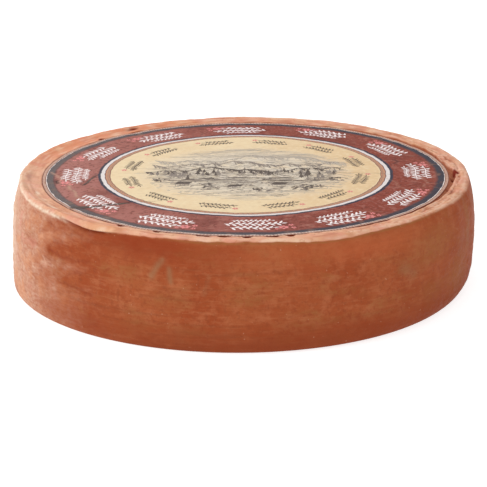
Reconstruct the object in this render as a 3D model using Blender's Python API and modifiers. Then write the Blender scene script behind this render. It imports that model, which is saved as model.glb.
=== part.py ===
"""A whole wheel of washed-rind cheese with a round paper label on its top.

The wheel stands on its flat base at the origin, with +Z up and its front towards -Y.
Lengths are metres. Angles run from +X (right) towards +Y (back), so the front is at 270 degrees.
"""

from math import atan2, cos, exp, hypot, pi, radians, sin, sqrt, tau

import bmesh
import bpy

# Driving dimensions
WHEEL_RADIUS = 0.180
PAPER_HEIGHT = 0.0806
PAPER_RADIUS = 0.1584
PAPER_THICKNESS = 0.0006
PAPER_GAP = 0.0003

# Upper rim: a low lip outside a groove, with a long rounded shoulder below it
SHOULDER_WIDTH = 0.0081
SHOULDER_DEPTH = 0.0363
LIP_WIDTH = 0.0044
LIP_RISE = 0.0010
GROOVE_RADIUS = 0.1622
GROOVE_DEPTH = 0.0012
PAPER_SEAT_RADIUS = 0.1596
SEAT_EDGE_RADIUS = 0.1544
GROOVE_CLIMB = 0.4
LIP_CLIMB = 0.7
FLAT_ROW_SHARE = 0.5

# Lower edge
FOOT_WIDTH = 0.0053
FOOT_HEIGHT = 0.0184

# Steps round the wheel and rows in each part of its outline
TURN_STEPS = 160
SHOULDER_ROWS = 11
SIDE_ROWS = 3
FOOT_ROWS = 5

# How far the wheel is from a true turned shape
LEAN_X = -0.0029
LEAN_Y = -0.0017
OVAL = 0.0012
THREE_LOBES = -0.0007
SHOULDER_WIDER_IN_FRONT = 0.0031
FOOT_WIDER_AT_RIGHT = 0.0034
LIP_HIGHER_AT_LEFT = 0.0007
GROOVE_DEEPER_AT_RIGHT = 0.0011
LIP_WAVE = 0.0004
SIDE_WAVE = 0.0005

# The lip's waves: share, number round the wheel, phase
LIP_WAVES = ((0.5, 5, 0.6), (0.3, 11, 2.1), (0.2, 17, 0.0))

# The side's waves: share, number round the wheel, turn for each metre of height, phase
SIDE_WAVES = ((0.6, 8, 60.0, 1.0), (0.4, 13, -90.0, 0.0))

# The unevenness of the top fades out below it between these depths
TOP_BLEND = 0.012
TOP_FLAT = 0.002

# Pits and lumps in the groove: angle in degrees, radius, half length along the rim, half width, height
PITS_AND_LUMPS = (
    (356.5, 0.1634, 0.0095, 0.0026, -0.0026),
    (350.4, 0.1618, 0.0060, 0.0024, -0.0022),
    (125.6, 0.1655, 0.0070, 0.0028, -0.0022),
    (139.0, 0.1665, 0.0080, 0.0030, -0.0012),
    (6.5, 0.1640, 0.0120, 0.0026, 0.0014),
)

# The fold where the lip laps over the side, at the left of the front
FOLD_START = radians(220)
FOLD_END = radians(243)
FOLD_DEPTH = 0.0018
FOLD_HALF_WIDTH = 0.0016
FOLD_LOW = 0.0776
FOLD_RISE = 0.0030
FOLD_LEVEL_SHARE = 0.55

MERGE_DISTANCE = 0.00005
RIND_COLOUR = (0.42, 0.14, 0.055, 1.0)
RIND_ROUGHNESS = 0.6
RIND_SHARP_ANGLE = 50
PAPER_COLOUR = (0.42, 0.20, 0.15, 1.0)
PAPER_ROUGHNESS = 0.55
PAPER_SHARP_ANGLE = 40
MODEL_NAME = "cheese_wheel_with_label"


def clear_scene():
    for item in list(bpy.data.objects):
        bpy.data.objects.remove(item, do_unlink=True)


def new_collection(name):
    collection = bpy.data.collections.new(name)
    bpy.context.scene.collection.children.link(collection)
    return collection


def plain_material(name, colour, roughness):
    material = bpy.data.materials.new(name)
    material.use_nodes = True
    shader = material.node_tree.nodes["Principled BSDF"]
    shader.inputs["Base Color"].default_value = colour
    shader.inputs["Roughness"].default_value = roughness
    shader.inputs["Metallic"].default_value = 0.0
    return material


def smooth_step(low, high, value):
    share = min(max((value - low) / (high - low), 0.0), 1.0)
    return share * share * (3.0 - 2.0 * share)


def bump(distance):
    return exp(-distance * distance)


def shoulder_inset(height):
    """How far the shoulder has drawn in at a height, from 0 on the side to 1 at the lip."""
    climbed = (height - (PAPER_HEIGHT - SHOULDER_DEPTH)) / SHOULDER_DEPTH
    climbed = min(max(climbed, 0.0), 1.0)
    return 1.0 - sqrt(1.0 - climbed * climbed)


def foot_inset(height):
    """How far the rounded lower edge has drawn in at a height, from 0 on the side to 1 at the base."""
    dropped = min(max(1.0 - height / FOOT_HEIGHT, 0.0), 1.0)
    return 1.0 - sqrt(1.0 - dropped * dropped)


def wheel_outline():
    """Half of the wheel's section as (radius, height), from the middle of the top to that of the base."""
    seat_height = PAPER_HEIGHT - PAPER_THICKNESS - PAPER_GAP
    lip_radius = WHEEL_RADIUS - SHOULDER_WIDTH
    lip_inside = lip_radius - LIP_WIDTH
    lip_height = PAPER_HEIGHT + LIP_RISE
    points = [
        (0.0, seat_height),
        (PAPER_RADIUS * FLAT_ROW_SHARE, seat_height),
        (SEAT_EDGE_RADIUS, seat_height),
        (PAPER_SEAT_RADIUS, seat_height),
        (GROOVE_RADIUS, PAPER_HEIGHT - GROOVE_DEPTH),
        ((GROOVE_RADIUS + lip_inside) / 2, PAPER_HEIGHT - GROOVE_DEPTH * GROOVE_CLIMB),
        (lip_inside, PAPER_HEIGHT + LIP_RISE * LIP_CLIMB),
        ((lip_inside + lip_radius) / 2, lip_height),
    ]
    shoulder_depth = SHOULDER_DEPTH + LIP_RISE
    for row in range(SHOULDER_ROWS + 1):
        turn = pi / 2 * (1.0 - row / SHOULDER_ROWS)
        points.append((
            lip_radius + SHOULDER_WIDTH * cos(turn),
            lip_height - shoulder_depth * (1.0 - sin(turn)),
        ))
    side_top = points[-1][1]
    for row in range(1, SIDE_ROWS + 1):
        points.append((WHEEL_RADIUS, side_top + (FOOT_HEIGHT - side_top) * row / SIDE_ROWS))
    for row in range(1, FOOT_ROWS + 1):
        turn = pi / 2 * row / FOOT_ROWS
        points.append((
            WHEEL_RADIUS - FOOT_WIDTH * (1.0 - cos(turn)),
            FOOT_HEIGHT * (1.0 - sin(turn)),
        ))
    points.append((WHEEL_RADIUS * FLAT_ROW_SHARE, 0.0))
    points.append((0.0, 0.0))
    return points


def turned_solid(name, outline, steps):
    """A closed solid turned round +Z from an outline that runs from its top to its base."""
    mesh = bpy.data.meshes.new(name)
    edges = [(i, i + 1) for i in range(len(outline) - 1)]
    mesh.from_pydata([(radius, 0.0, height) for radius, height in outline], edges, [])
    solid = bpy.data.objects.new(name, mesh)
    bpy.context.scene.collection.objects.link(solid)
    screw = solid.modifiers.new("Turn", "SCREW")
    screw.axis = "Z"
    screw.angle = tau
    screw.steps = steps
    screw.render_steps = steps
    screw.use_merge_vertices = True
    screw.merge_threshold = MERGE_DISTANCE
    screw.use_smooth_shade = True

    # The turned mesh is taken from the modifier, so that its points can be moved.
    seen = solid.evaluated_get(bpy.context.evaluated_depsgraph_get())
    turned = bpy.data.meshes.new_from_object(seen)
    solid.modifiers.clear()
    solid.data = turned
    bpy.data.meshes.remove(mesh)
    shape = bmesh.new()
    shape.from_mesh(turned)
    bmesh.ops.remove_doubles(shape, verts=shape.verts, dist=MERGE_DISTANCE)
    shape.to_mesh(turned)
    shape.free()
    return solid


def groove_share(radius):
    """1 at the bottom of the groove, falling to 0 under the paper and on the lip."""
    inner = smooth_step(PAPER_RADIUS, GROOVE_RADIUS, radius)
    outer = 1.0 - smooth_step(GROOVE_RADIUS, WHEEL_RADIUS - SHOULDER_WIDTH - LIP_WIDTH, radius)
    return inner * outer


def groove_spots(angle, radius):
    """What the pits and lumps add to the height of the groove."""
    height = 0.0
    for spot_angle, spot_radius, half_length, half_width, spot_height in PITS_AND_LUMPS:
        turn = angle - radians(spot_angle)
        along = atan2(sin(turn), cos(turn)) * spot_radius
        height += spot_height * bump(along / half_length) * bump((radius - spot_radius) / half_width)
    return height


def fold_depth(angle, height):
    """How deep the fold under the lip cuts into the shoulder."""
    if not FOLD_START < angle < FOLD_END:
        return 0.0
    share = (angle - FOLD_START) / (FOLD_END - FOLD_START)
    middle = FOLD_LOW + FOLD_RISE * smooth_step(FOLD_LEVEL_SHARE, 1.0, share)
    return FOLD_DEPTH * sin(pi * share) * bump((height - middle) / FOLD_HALF_WIDTH)


def lip_lift(angle, radius):
    """How much higher the lip and the groove are than the turned outline."""
    on_lip = smooth_step(GROOVE_RADIUS, WHEEL_RADIUS - SHOULDER_WIDTH, radius)
    waves = sum(share * sin(count * angle + phase) for share, count, phase in LIP_WAVES)
    lift = on_lip * (LIP_WAVE * waves - LIP_HIGHER_AT_LEFT * cos(angle))
    return lift - groove_share(radius) * GROOVE_DEEPER_AT_RIGHT * cos(angle)


def side_swell(angle, height):
    """Soft dents and swellings of the side, none at the foot."""
    waves = sum(
        share * sin(count * angle + slant * height + phase) for share, count, slant, phase in SIDE_WAVES
    )
    return SIDE_WAVE * waves * smooth_step(0.0, FOOT_HEIGHT, height)


def make_uneven(solid):
    """Moves each point of the turned wheel to where the soft, hand-turned cheese has it."""
    for vertex in solid.data.vertices:
        x, y, height = vertex.co
        radius = hypot(x, y)
        angle = atan2(y, x) % tau
        rim = smooth_step(PAPER_SEAT_RADIUS, WHEEL_RADIUS - SHOULDER_WIDTH, radius)
        top_share = smooth_step(PAPER_HEIGHT - TOP_BLEND, PAPER_HEIGHT - TOP_FLAT, height)

        moved = OVAL * cos(2 * angle) + THREE_LOBES * cos(3 * angle) + side_swell(angle, height)
        moved += SHOULDER_WIDER_IN_FRONT * sin(angle) * shoulder_inset(height)
        moved -= FOOT_WIDER_AT_RIGHT * cos(angle) * foot_inset(height)
        moved -= fold_depth(angle, height)
        moved = radius + moved * rim
        height += (lip_lift(angle, radius) + groove_spots(angle, radius)) * top_share

        leaning = 1.0 - vertex.co.z / PAPER_HEIGHT
        vertex.co.x = moved * cos(angle) + LEAN_X * leaning
        vertex.co.y = moved * sin(angle) + LEAN_Y * leaning
        vertex.co.z = height


def shade_round(solid, sharp_angle):
    solid.data.shade_smooth()
    solid.data.set_sharp_from_angle(angle=radians(sharp_angle))


def build_wheel(material):
    wheel = turned_solid("cheese_wheel", wheel_outline(), TURN_STEPS)
    make_uneven(wheel)
    shade_round(wheel, RIND_SHARP_ANGLE)
    wheel.data.materials.clear()
    wheel.data.materials.append(material)
    return wheel


def build_paper(material):
    bpy.ops.mesh.primitive_cylinder_add(
        vertices=TURN_STEPS,
        radius=PAPER_RADIUS,
        depth=PAPER_THICKNESS,
        location=(0.0, 0.0, PAPER_HEIGHT - PAPER_THICKNESS / 2),
    )
    paper = bpy.context.active_object
    paper.name = "paper_label"
    paper.data.name = "paper_label"
    shade_round(paper, PAPER_SHARP_ANGLE)
    paper.data.materials.append(material)
    return paper


def centre_on_origin(wheel, pieces):
    """Puts the middle of the wheel's outline, seen from above, over the origin."""
    across = [vertex.co.x for vertex in wheel.data.vertices]
    along = [vertex.co.y for vertex in wheel.data.vertices]
    for piece in pieces:
        piece.location.x -= (min(across) + max(across)) / 2
        piece.location.y -= (min(along) + max(along)) / 2


def main():
    clear_scene()
    model = new_collection(MODEL_NAME)
    wheel = build_wheel(plain_material("rind", RIND_COLOUR, RIND_ROUGHNESS))
    paper = build_paper(plain_material("printed_paper", PAPER_COLOUR, PAPER_ROUGHNESS))
    centre_on_origin(wheel, (wheel, paper))
    for piece in (wheel, paper):
        for holder in list(piece.users_collection):
            holder.objects.unlink(piece)
        model.objects.link(piece)


main()
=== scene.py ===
"""The looks of a whole wheel of washed-rind cheese with a round printed paper label.

Lengths are metres, +Z is up and the front is towards -Y. Angles run from +X (right) towards +Y (back),
so the front is at 270 degrees. The print on the label is laid out in millimetres from the label's centre.
"""

import random
from math import cos, hypot, pi, radians, sin, sqrt, tau

import bpy
import numpy as np
from mathutils import Matrix, Vector, noise


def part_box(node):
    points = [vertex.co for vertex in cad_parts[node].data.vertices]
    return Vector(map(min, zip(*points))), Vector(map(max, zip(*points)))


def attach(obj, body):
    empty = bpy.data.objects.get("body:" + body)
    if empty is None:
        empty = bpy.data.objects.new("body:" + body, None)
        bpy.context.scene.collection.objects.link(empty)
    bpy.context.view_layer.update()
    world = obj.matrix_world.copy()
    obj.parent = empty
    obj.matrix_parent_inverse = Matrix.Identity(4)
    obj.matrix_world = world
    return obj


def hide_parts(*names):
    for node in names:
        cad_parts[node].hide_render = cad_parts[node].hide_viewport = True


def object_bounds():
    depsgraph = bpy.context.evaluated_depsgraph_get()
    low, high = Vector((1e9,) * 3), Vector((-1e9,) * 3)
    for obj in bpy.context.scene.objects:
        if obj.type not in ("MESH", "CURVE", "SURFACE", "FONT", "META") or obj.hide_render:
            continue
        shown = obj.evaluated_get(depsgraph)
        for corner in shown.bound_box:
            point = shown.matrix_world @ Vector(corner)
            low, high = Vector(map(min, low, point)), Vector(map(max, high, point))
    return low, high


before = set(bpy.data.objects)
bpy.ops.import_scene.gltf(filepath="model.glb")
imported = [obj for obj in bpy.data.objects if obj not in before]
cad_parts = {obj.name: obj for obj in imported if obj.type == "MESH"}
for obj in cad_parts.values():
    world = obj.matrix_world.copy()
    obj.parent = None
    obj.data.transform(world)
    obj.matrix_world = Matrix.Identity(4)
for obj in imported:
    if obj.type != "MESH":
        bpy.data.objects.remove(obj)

CAD_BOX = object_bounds()
MM = 0.001

# The label, as the frame has it
PAPER_LOW, PAPER_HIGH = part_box("paper_label")
CENTRE_X = (PAPER_LOW.x + PAPER_HIGH.x) / 2
CENTRE_Y = (PAPER_LOW.y + PAPER_HIGH.y) / 2
PAPER_HEIGHT = PAPER_HIGH.z
PAPER_RADIUS = (PAPER_HIGH.x - PAPER_LOW.x) / 2
SEAT_HEIGHT = PAPER_LOW.z - 0.0003

# The wheel's driving dimensions, which the part's source gives too
WHEEL_RADIUS = 0.180
SHOULDER_WIDTH = 0.0081
SHOULDER_DEPTH = 0.0363
LIP_WIDTH = 0.0044
LIP_RISE = 0.0010
LIP_RADIUS = WHEEL_RADIUS - SHOULDER_WIDTH
LIP_INSIDE = LIP_RADIUS - LIP_WIDTH
LIP_HEIGHT = PAPER_HEIGHT + LIP_RISE
GROOVE_RADIUS = 0.1622
GROOVE_DEPTH = 0.0012
GROOVE_CLIMB = 0.4
LIP_CLIMB = 0.7
PAPER_SEAT_RADIUS = 0.1596
PAPER_COVERS = PAPER_RADIUS - 0.004
FOOT_WIDTH = 0.0053
FOOT_HEIGHT = 0.0184

LEAN_X = -0.0029
LEAN_Y = -0.0017
OVAL = 0.0012
THREE_LOBES = -0.0007
SHOULDER_WIDER_IN_FRONT = 0.0031
FOOT_WIDER_AT_RIGHT = 0.0034
LIP_HIGHER_AT_LEFT = 0.0007
GROOVE_DEEPER_AT_RIGHT = 0.0011
LIP_WAVE = 0.0004
SIDE_WAVE = 0.0005
LIP_WAVES = ((0.5, 5, 0.6), (0.3, 11, 2.1), (0.2, 17, 0.0))
SIDE_WAVES = ((0.6, 8, 60.0, 1.0), (0.4, 13, -90.0, 0.0))
TOP_BLEND = 0.012
TOP_FLAT = 0.002

# Pits and lumps in the groove: angle in degrees, radius, half length along the rim, half width, height
PITS_AND_LUMPS = (
    (124.4, 0.1690, 0.0058, 0.0018, -0.0018),
    (359.6, 0.1643, 0.0070, 0.0023, -0.0032),
    (354.6, 0.1622, 0.0050, 0.0019, -0.0028),
    (125.6, 0.1655, 0.0070, 0.0028, -0.0022),
    (139.0, 0.1665, 0.0080, 0.0030, -0.0012),
    (8.0, 0.1640, 0.0110, 0.0024, 0.0018),
    (346.5, 0.1652, 0.0028, 0.0016, 0.0008),
    (341.0, 0.1640, 0.0036, 0.0014, -0.0016),
    (336.0, 0.1655, 0.0045, 0.0018, 0.0008),
    (19.0, 0.1650, 0.0060, 0.0016, 0.0009),
    (27.0, 0.1644, 0.0050, 0.0014, -0.0010),
)

FOLD_START = radians(220)
FOLD_END = radians(243)

# The rind's mesh: columns round the wheel, and how far apart its rows are on each stretch of the outline
COLUMNS = 800
HIDDEN_ROW = 0.05
RIM_ROW = 0.00050
SIDE_ROW = 0.00140
RIM_DROP = 0.012
OUTLINE_STEP = 0.0001
OUTLINE_SOFTNESS = 0.0008

# Slits between the label's edge and the rind, where the gap isn't open: middle and half length in degrees
SLITS = (
    (236.5, 1.6), (247.0, 1.4), (259.4, 2.4), (264.6, 2.0), (270.4, 1.6), (276.6, 2.4), (281.3, 1.4),
    (139.0, 1.6),
)

# The open gap at the right, from the label's edge outwards: degrees and width
GAP_WIDTHS = (
    (-72.0, 0.0), (-60.0, 0.0014), (-44.0, 0.0022), (-34.0, 0.0016), (-26.0, 0.0026), (-18.0, 0.0024),
    (-11.0, 0.0030), (-6.0, 0.0044), (-1.0, 0.0052), (3.0, 0.0034), (7.0, 0.0016), (14.0, 0.0018),
    (22.0, 0.0030), (34.0, 0.0024), (48.0, 0.0028), (60.0, 0.0016), (74.0, 0.0),
)
GAP_PRESENT = 0.0004
SLIT_WIDTH = 0.0034

# The lower edge of the pale lip, and where it dips: degrees, half width in degrees, how far down
LIP_EDGE_HEIGHT = 0.0798
LIP_EDGE_DIPS = ((230.0, 8.0, 0.0028), (291.0, 9.0, 0.0014), (323.0, 7.0, -0.0007), (150.0, 20.0, 0.0010))

# The crest of the shoulder at the left, with a painted highlight along it: degrees and height
CREST_LINE = (
    (150.0, 0.0800), (178.0, 0.0806), (198.0, 0.0799), (206.0, 0.0790), (213.0, 0.0787), (226.0, 0.0782),
)

# How far the bloom reaches from the left end, in degrees: towards the front by height, and towards the back
BLOOM_HEIGHTS = (0.0, 0.02, 0.04, 0.06, 0.08)
BLOOM_REACH = (56.0, 51.0, 46.0, 44.0, 46.0)
BLOOM_REACH_BACK = 52.0

# The rind's lumps, streaks and grain: height, how many lie in a metre level and upright, seed
RIND_LUMPS = ((0.00028, 70.0, 70.0, 6), (0.00012, 210.0, 210.0, 7), (0.00004, 260.0, 360.0, 10))
SIDE_STREAKS = (0.00014, 38.0, 420.0, 9)
LEFT_CRUMPLES = ((0.00024, 120.0, 230.0, 14), (0.00050, 85.0, 200.0, 12))
RIM_CRUMPLES = (0.00050, 330.0, 60.0, 13)
GAP_LUMPS = (0.00050, 230.0, 40.0, 11)
DENT_DEPTH = 0.00045
SIDE_SET_BACK = 0.00030
LEFT_SET_BACK = 0.00050

# The camera, from the fit to the photograph. Distances start at the label's centre.
FRAME_PIXELS = 487
FOCAL_PIXELS = 1700
SENSOR = 36.0
CAMERA_TILT = radians(16.0989)
CAMERA_DISTANCE = 1.3332
AIM_OFFSET = Vector((-0.00184, 0.0, -0.0584))
CAMERA_ROLL = radians(-0.3366)


def smooth_step(low, high, value):
    share = np.clip((value - low) / (high - low), 0.0, 1.0)
    return share * share * (3.0 - 2.0 * share)


def bump(distance):
    return np.exp(-distance * distance)


def turn_from(middle, angle):
    """The signed turn from one angle to others."""
    return (angle - middle + pi) % tau - pi


def field(places, scale, seed):
    """Smooth noise, about -1 to 1, at places of shape (..., 3). The scale is how many lumps a metre has."""
    shape = places.shape[:-1]
    scaled = places.reshape(-1, 3) * np.asarray(scale, float) + seed * np.array((13.7, 7.9, 21.3))
    values = [noise.noise(place) for place in scaled.tolist()]
    return np.array(values).reshape(shape) * 1.6


def lumps(places, *rows):
    """Noise as height, from rows of height, lumps in a metre level and upright, and seed."""
    return sum(high * field(places, (level, level, upright), seed) for high, level, upright, seed in rows)


def distance_to(x, y, points):
    """How far places lie from a line through points."""
    nearest = np.full(np.shape(x), 1e9)
    for (ax, ay), (bx, by) in zip(points, points[1:]):
        dx, dy = bx - ax, by - ay
        share = np.clip(((x - ax) * dx + (y - ay) * dy) / (dx * dx + dy * dy), 0.0, 1.0)
        nearest = np.minimum(nearest, np.hypot(x - ax - share * dx, y - ay - share * dy))
    return nearest


def new_piece(name, points, faces, material, smooth=True):
    mesh = bpy.data.meshes.new(name)
    mesh.from_pydata(points, [], faces)
    mesh.update()
    if smooth:
        mesh.shade_smooth()
    piece = bpy.data.objects.new(name, mesh)
    bpy.context.scene.collection.objects.link(piece)
    mesh.materials.append(material)
    return piece


def read(items, name, kind, width=1):
    """One property of all the corners, faces or points of a mesh."""
    values = np.zeros(len(items) * width, kind)
    items.foreach_get(name, values)
    return values


def write_mark(piece, name, values):
    """Keeps one number for each point of a mesh, which its material reads."""
    mark = piece.data.attributes.new(name, "FLOAT", "POINT")
    mark.data.foreach_set("value", np.ravel(values).astype(np.float32))


# The rind's shape


def rind_outline():
    """The section's upper points as (radius, height), as in the solid, with the rounded shoulder and foot."""
    points = [
        (0.0, SEAT_HEIGHT),
        (PAPER_COVERS, SEAT_HEIGHT),
        (PAPER_SEAT_RADIUS, SEAT_HEIGHT),
        (GROOVE_RADIUS, PAPER_HEIGHT - GROOVE_DEPTH),
        ((GROOVE_RADIUS + LIP_INSIDE) / 2, PAPER_HEIGHT - GROOVE_DEPTH * GROOVE_CLIMB),
        (LIP_INSIDE, PAPER_HEIGHT + LIP_RISE * LIP_CLIMB),
        ((LIP_INSIDE + LIP_RADIUS) / 2, LIP_HEIGHT),
    ]
    for turn in np.linspace(pi / 2, 0.0, 60):
        points.append((
            LIP_RADIUS + SHOULDER_WIDTH * cos(turn),
            LIP_HEIGHT - (SHOULDER_DEPTH + LIP_RISE) * (1.0 - sin(turn)),
        ))
    for turn in np.linspace(0.0, pi / 2, 30):
        points.append((WHEEL_RADIUS - FOOT_WIDTH * (1.0 - cos(turn)), FOOT_HEIGHT * (1.0 - sin(turn))))
    points.append((0.0, 0.0))
    return np.array(points)


def softened(values, width):
    """Rounds off the corners of an evenly spaced line over a width given in its steps."""
    reach = int(3 * width)
    weights = bump(np.arange(-reach, reach + 1) / (width * sqrt(2)))
    padded = np.concatenate((np.full(reach, values[0]), values, np.full(reach, values[-1])))
    return np.convolve(padded, weights / weights.sum(), mode="valid")


def rind_rows():
    """The rows' radius, height, outward direction, and run: how far along the outline past the lip's top."""
    points = rind_outline()
    lengths = np.hypot(*np.diff(points, axis=0).T)
    along = np.concatenate(([0.0], np.cumsum(lengths)))
    fine = np.arange(0.0, along[-1], OUTLINE_STEP)
    radius = np.interp(fine, along, points[:, 0])
    height = np.interp(fine, along, points[:, 1])
    keep = smooth_step(0.150, 0.156, radius) * smooth_step(0.001, 0.003, height)
    width = OUTLINE_SOFTNESS / OUTLINE_STEP
    radius = radius + keep * (softened(radius, width) - radius)
    height = height + keep * (softened(height, width) - height)

    on_base = (height < 0.0006) & (radius < WHEEL_RADIUS - FOOT_WIDTH - 0.0002)
    on_rim = (height > LIP_HEIGHT - RIM_DROP) & (radius > PAPER_COVERS)
    under_paper = (height > SEAT_HEIGHT - 0.0001) & (radius < PAPER_COVERS)
    spacing = np.where(on_rim, RIM_ROW, SIDE_ROW)
    spacing = np.where(on_base | under_paper, HIDDEN_ROW, spacing)
    count = np.cumsum(OUTLINE_STEP / spacing)
    rows = np.arange(1, int(count[-1]) + 1)
    at = np.interp(rows, count, fine)

    out_radius, out_height = -np.gradient(height, fine), np.gradient(radius, fine)
    lip_top = fine[np.argmax((radius >= LIP_RADIUS) & (height > PAPER_HEIGHT))]
    row_values = [np.interp(at, fine, values) for values in (radius, height, out_radius, out_height)]
    return (*row_values, at - lip_top)


def shoulder_inset(height):
    climbed = np.clip((height - (PAPER_HEIGHT - SHOULDER_DEPTH)) / SHOULDER_DEPTH, 0.0, 1.0)
    return 1.0 - np.sqrt(1.0 - climbed * climbed)


def foot_inset(height):
    dropped = np.clip(1.0 - height / FOOT_HEIGHT, 0.0, 1.0)
    return 1.0 - np.sqrt(1.0 - dropped * dropped)


def groove_share(radius):
    inner = smooth_step(PAPER_RADIUS, GROOVE_RADIUS, radius)
    return inner * (1.0 - smooth_step(GROOVE_RADIUS, LIP_INSIDE, radius))


def groove_spots(angle, radius, pits_only=False):
    """What the pits and lumps add to the height of the groove."""
    height = np.zeros(angle.shape)
    for spot_angle, spot_radius, half_length, half_width, spot_height in PITS_AND_LUMPS:
        if pits_only and spot_height > 0:
            continue
        along = turn_from(radians(spot_angle), angle) * spot_radius
        height += spot_height * bump(along / half_length) * bump((radius - spot_radius) / half_width)
    return height


def lip_edge(angle):
    """Height of the lower edge of the pale lip."""
    edge = np.full(angle.shape, LIP_EDGE_HEIGHT)
    for middle, half_width, dip in LIP_EDGE_DIPS:
        edge -= dip * bump(np.degrees(turn_from(radians(middle), angle)) / half_width)
    return edge


def fold_share(angle):
    """How much of the fold under the lip there is: 1 in its middle."""
    return np.sin(pi * np.clip((angle - FOLD_START) / (FOLD_END - FOLD_START), 0.0, 1.0))


def lip_lift(angle, radius):
    on_lip = smooth_step(GROOVE_RADIUS, LIP_RADIUS, radius)
    waves = sum(share * np.sin(count * angle + phase) for share, count, phase in LIP_WAVES)
    lift = on_lip * (LIP_WAVE * waves - LIP_HIGHER_AT_LEFT * np.cos(angle))
    return lift - groove_share(radius) * GROOVE_DEEPER_AT_RIGHT * np.cos(angle)


def side_swell(angle, height):
    waves = sum(
        share * np.sin(count * angle + slant * height + phase) for share, count, slant, phase in SIDE_WAVES
    )
    return SIDE_WAVE * waves * smooth_step(0.0, FOOT_HEIGHT, height)


def within(angle, middle, half_length, inner, outer):
    """1 near a middle given in degrees, falling to 0 from one share of the half length to the other."""
    away = np.abs(np.degrees(turn_from(radians(middle), angle))) / half_length
    return 1.0 - smooth_step(inner, outer, away)


def slit_share(angle):
    """How wide the slits at the label's edge are."""
    slit = np.zeros(angle.shape)
    for middle, half_length in SLITS:
        slit = np.maximum(slit, within(angle, middle, half_length, 0.2, 1.0))
    return slit


def gap_end(angle):
    """The radius at which the gap ends."""
    width = np.interp(np.degrees(turn_from(0.0, angle)), *zip(*GAP_WIDTHS))
    return PAPER_RADIUS + np.maximum(width, SLIT_WIDTH * slit_share(angle))


def open_gap(angle, radius):
    """How open the gap is between the label's edge and the rind: 1 where it gapes."""
    end = gap_end(angle)
    there = smooth_step(GAP_PRESENT, 3.0 * GAP_PRESENT, end - PAPER_RADIUS)
    return there * (1.0 - smooth_step(-0.0005, 0.0007, radius - end))


def left_crest(angle, height):
    """The crest of the shoulder at the left."""
    degrees_round = np.degrees(angle)
    crest_height = np.interp(degrees_round, *zip(*CREST_LINE))
    there = smooth_step(150.0, 176.0, degrees_round) * (1.0 - smooth_step(216.0, 229.0, degrees_round))
    return there * bump((height - crest_height) / 0.0013)


def near_line(angle, height, points, half_width, unevenness):
    """1 on a line through points given in degrees and height, fading over a half width."""
    first = points[0][0]
    across = turn_from(radians(first), angle) * WHEEL_RADIUS
    line = [(radians(turn - first) * WHEEL_RADIUS, high) for turn, high in points]
    return bump((distance_to(across, height, line) + unevenness) / half_width)


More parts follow.
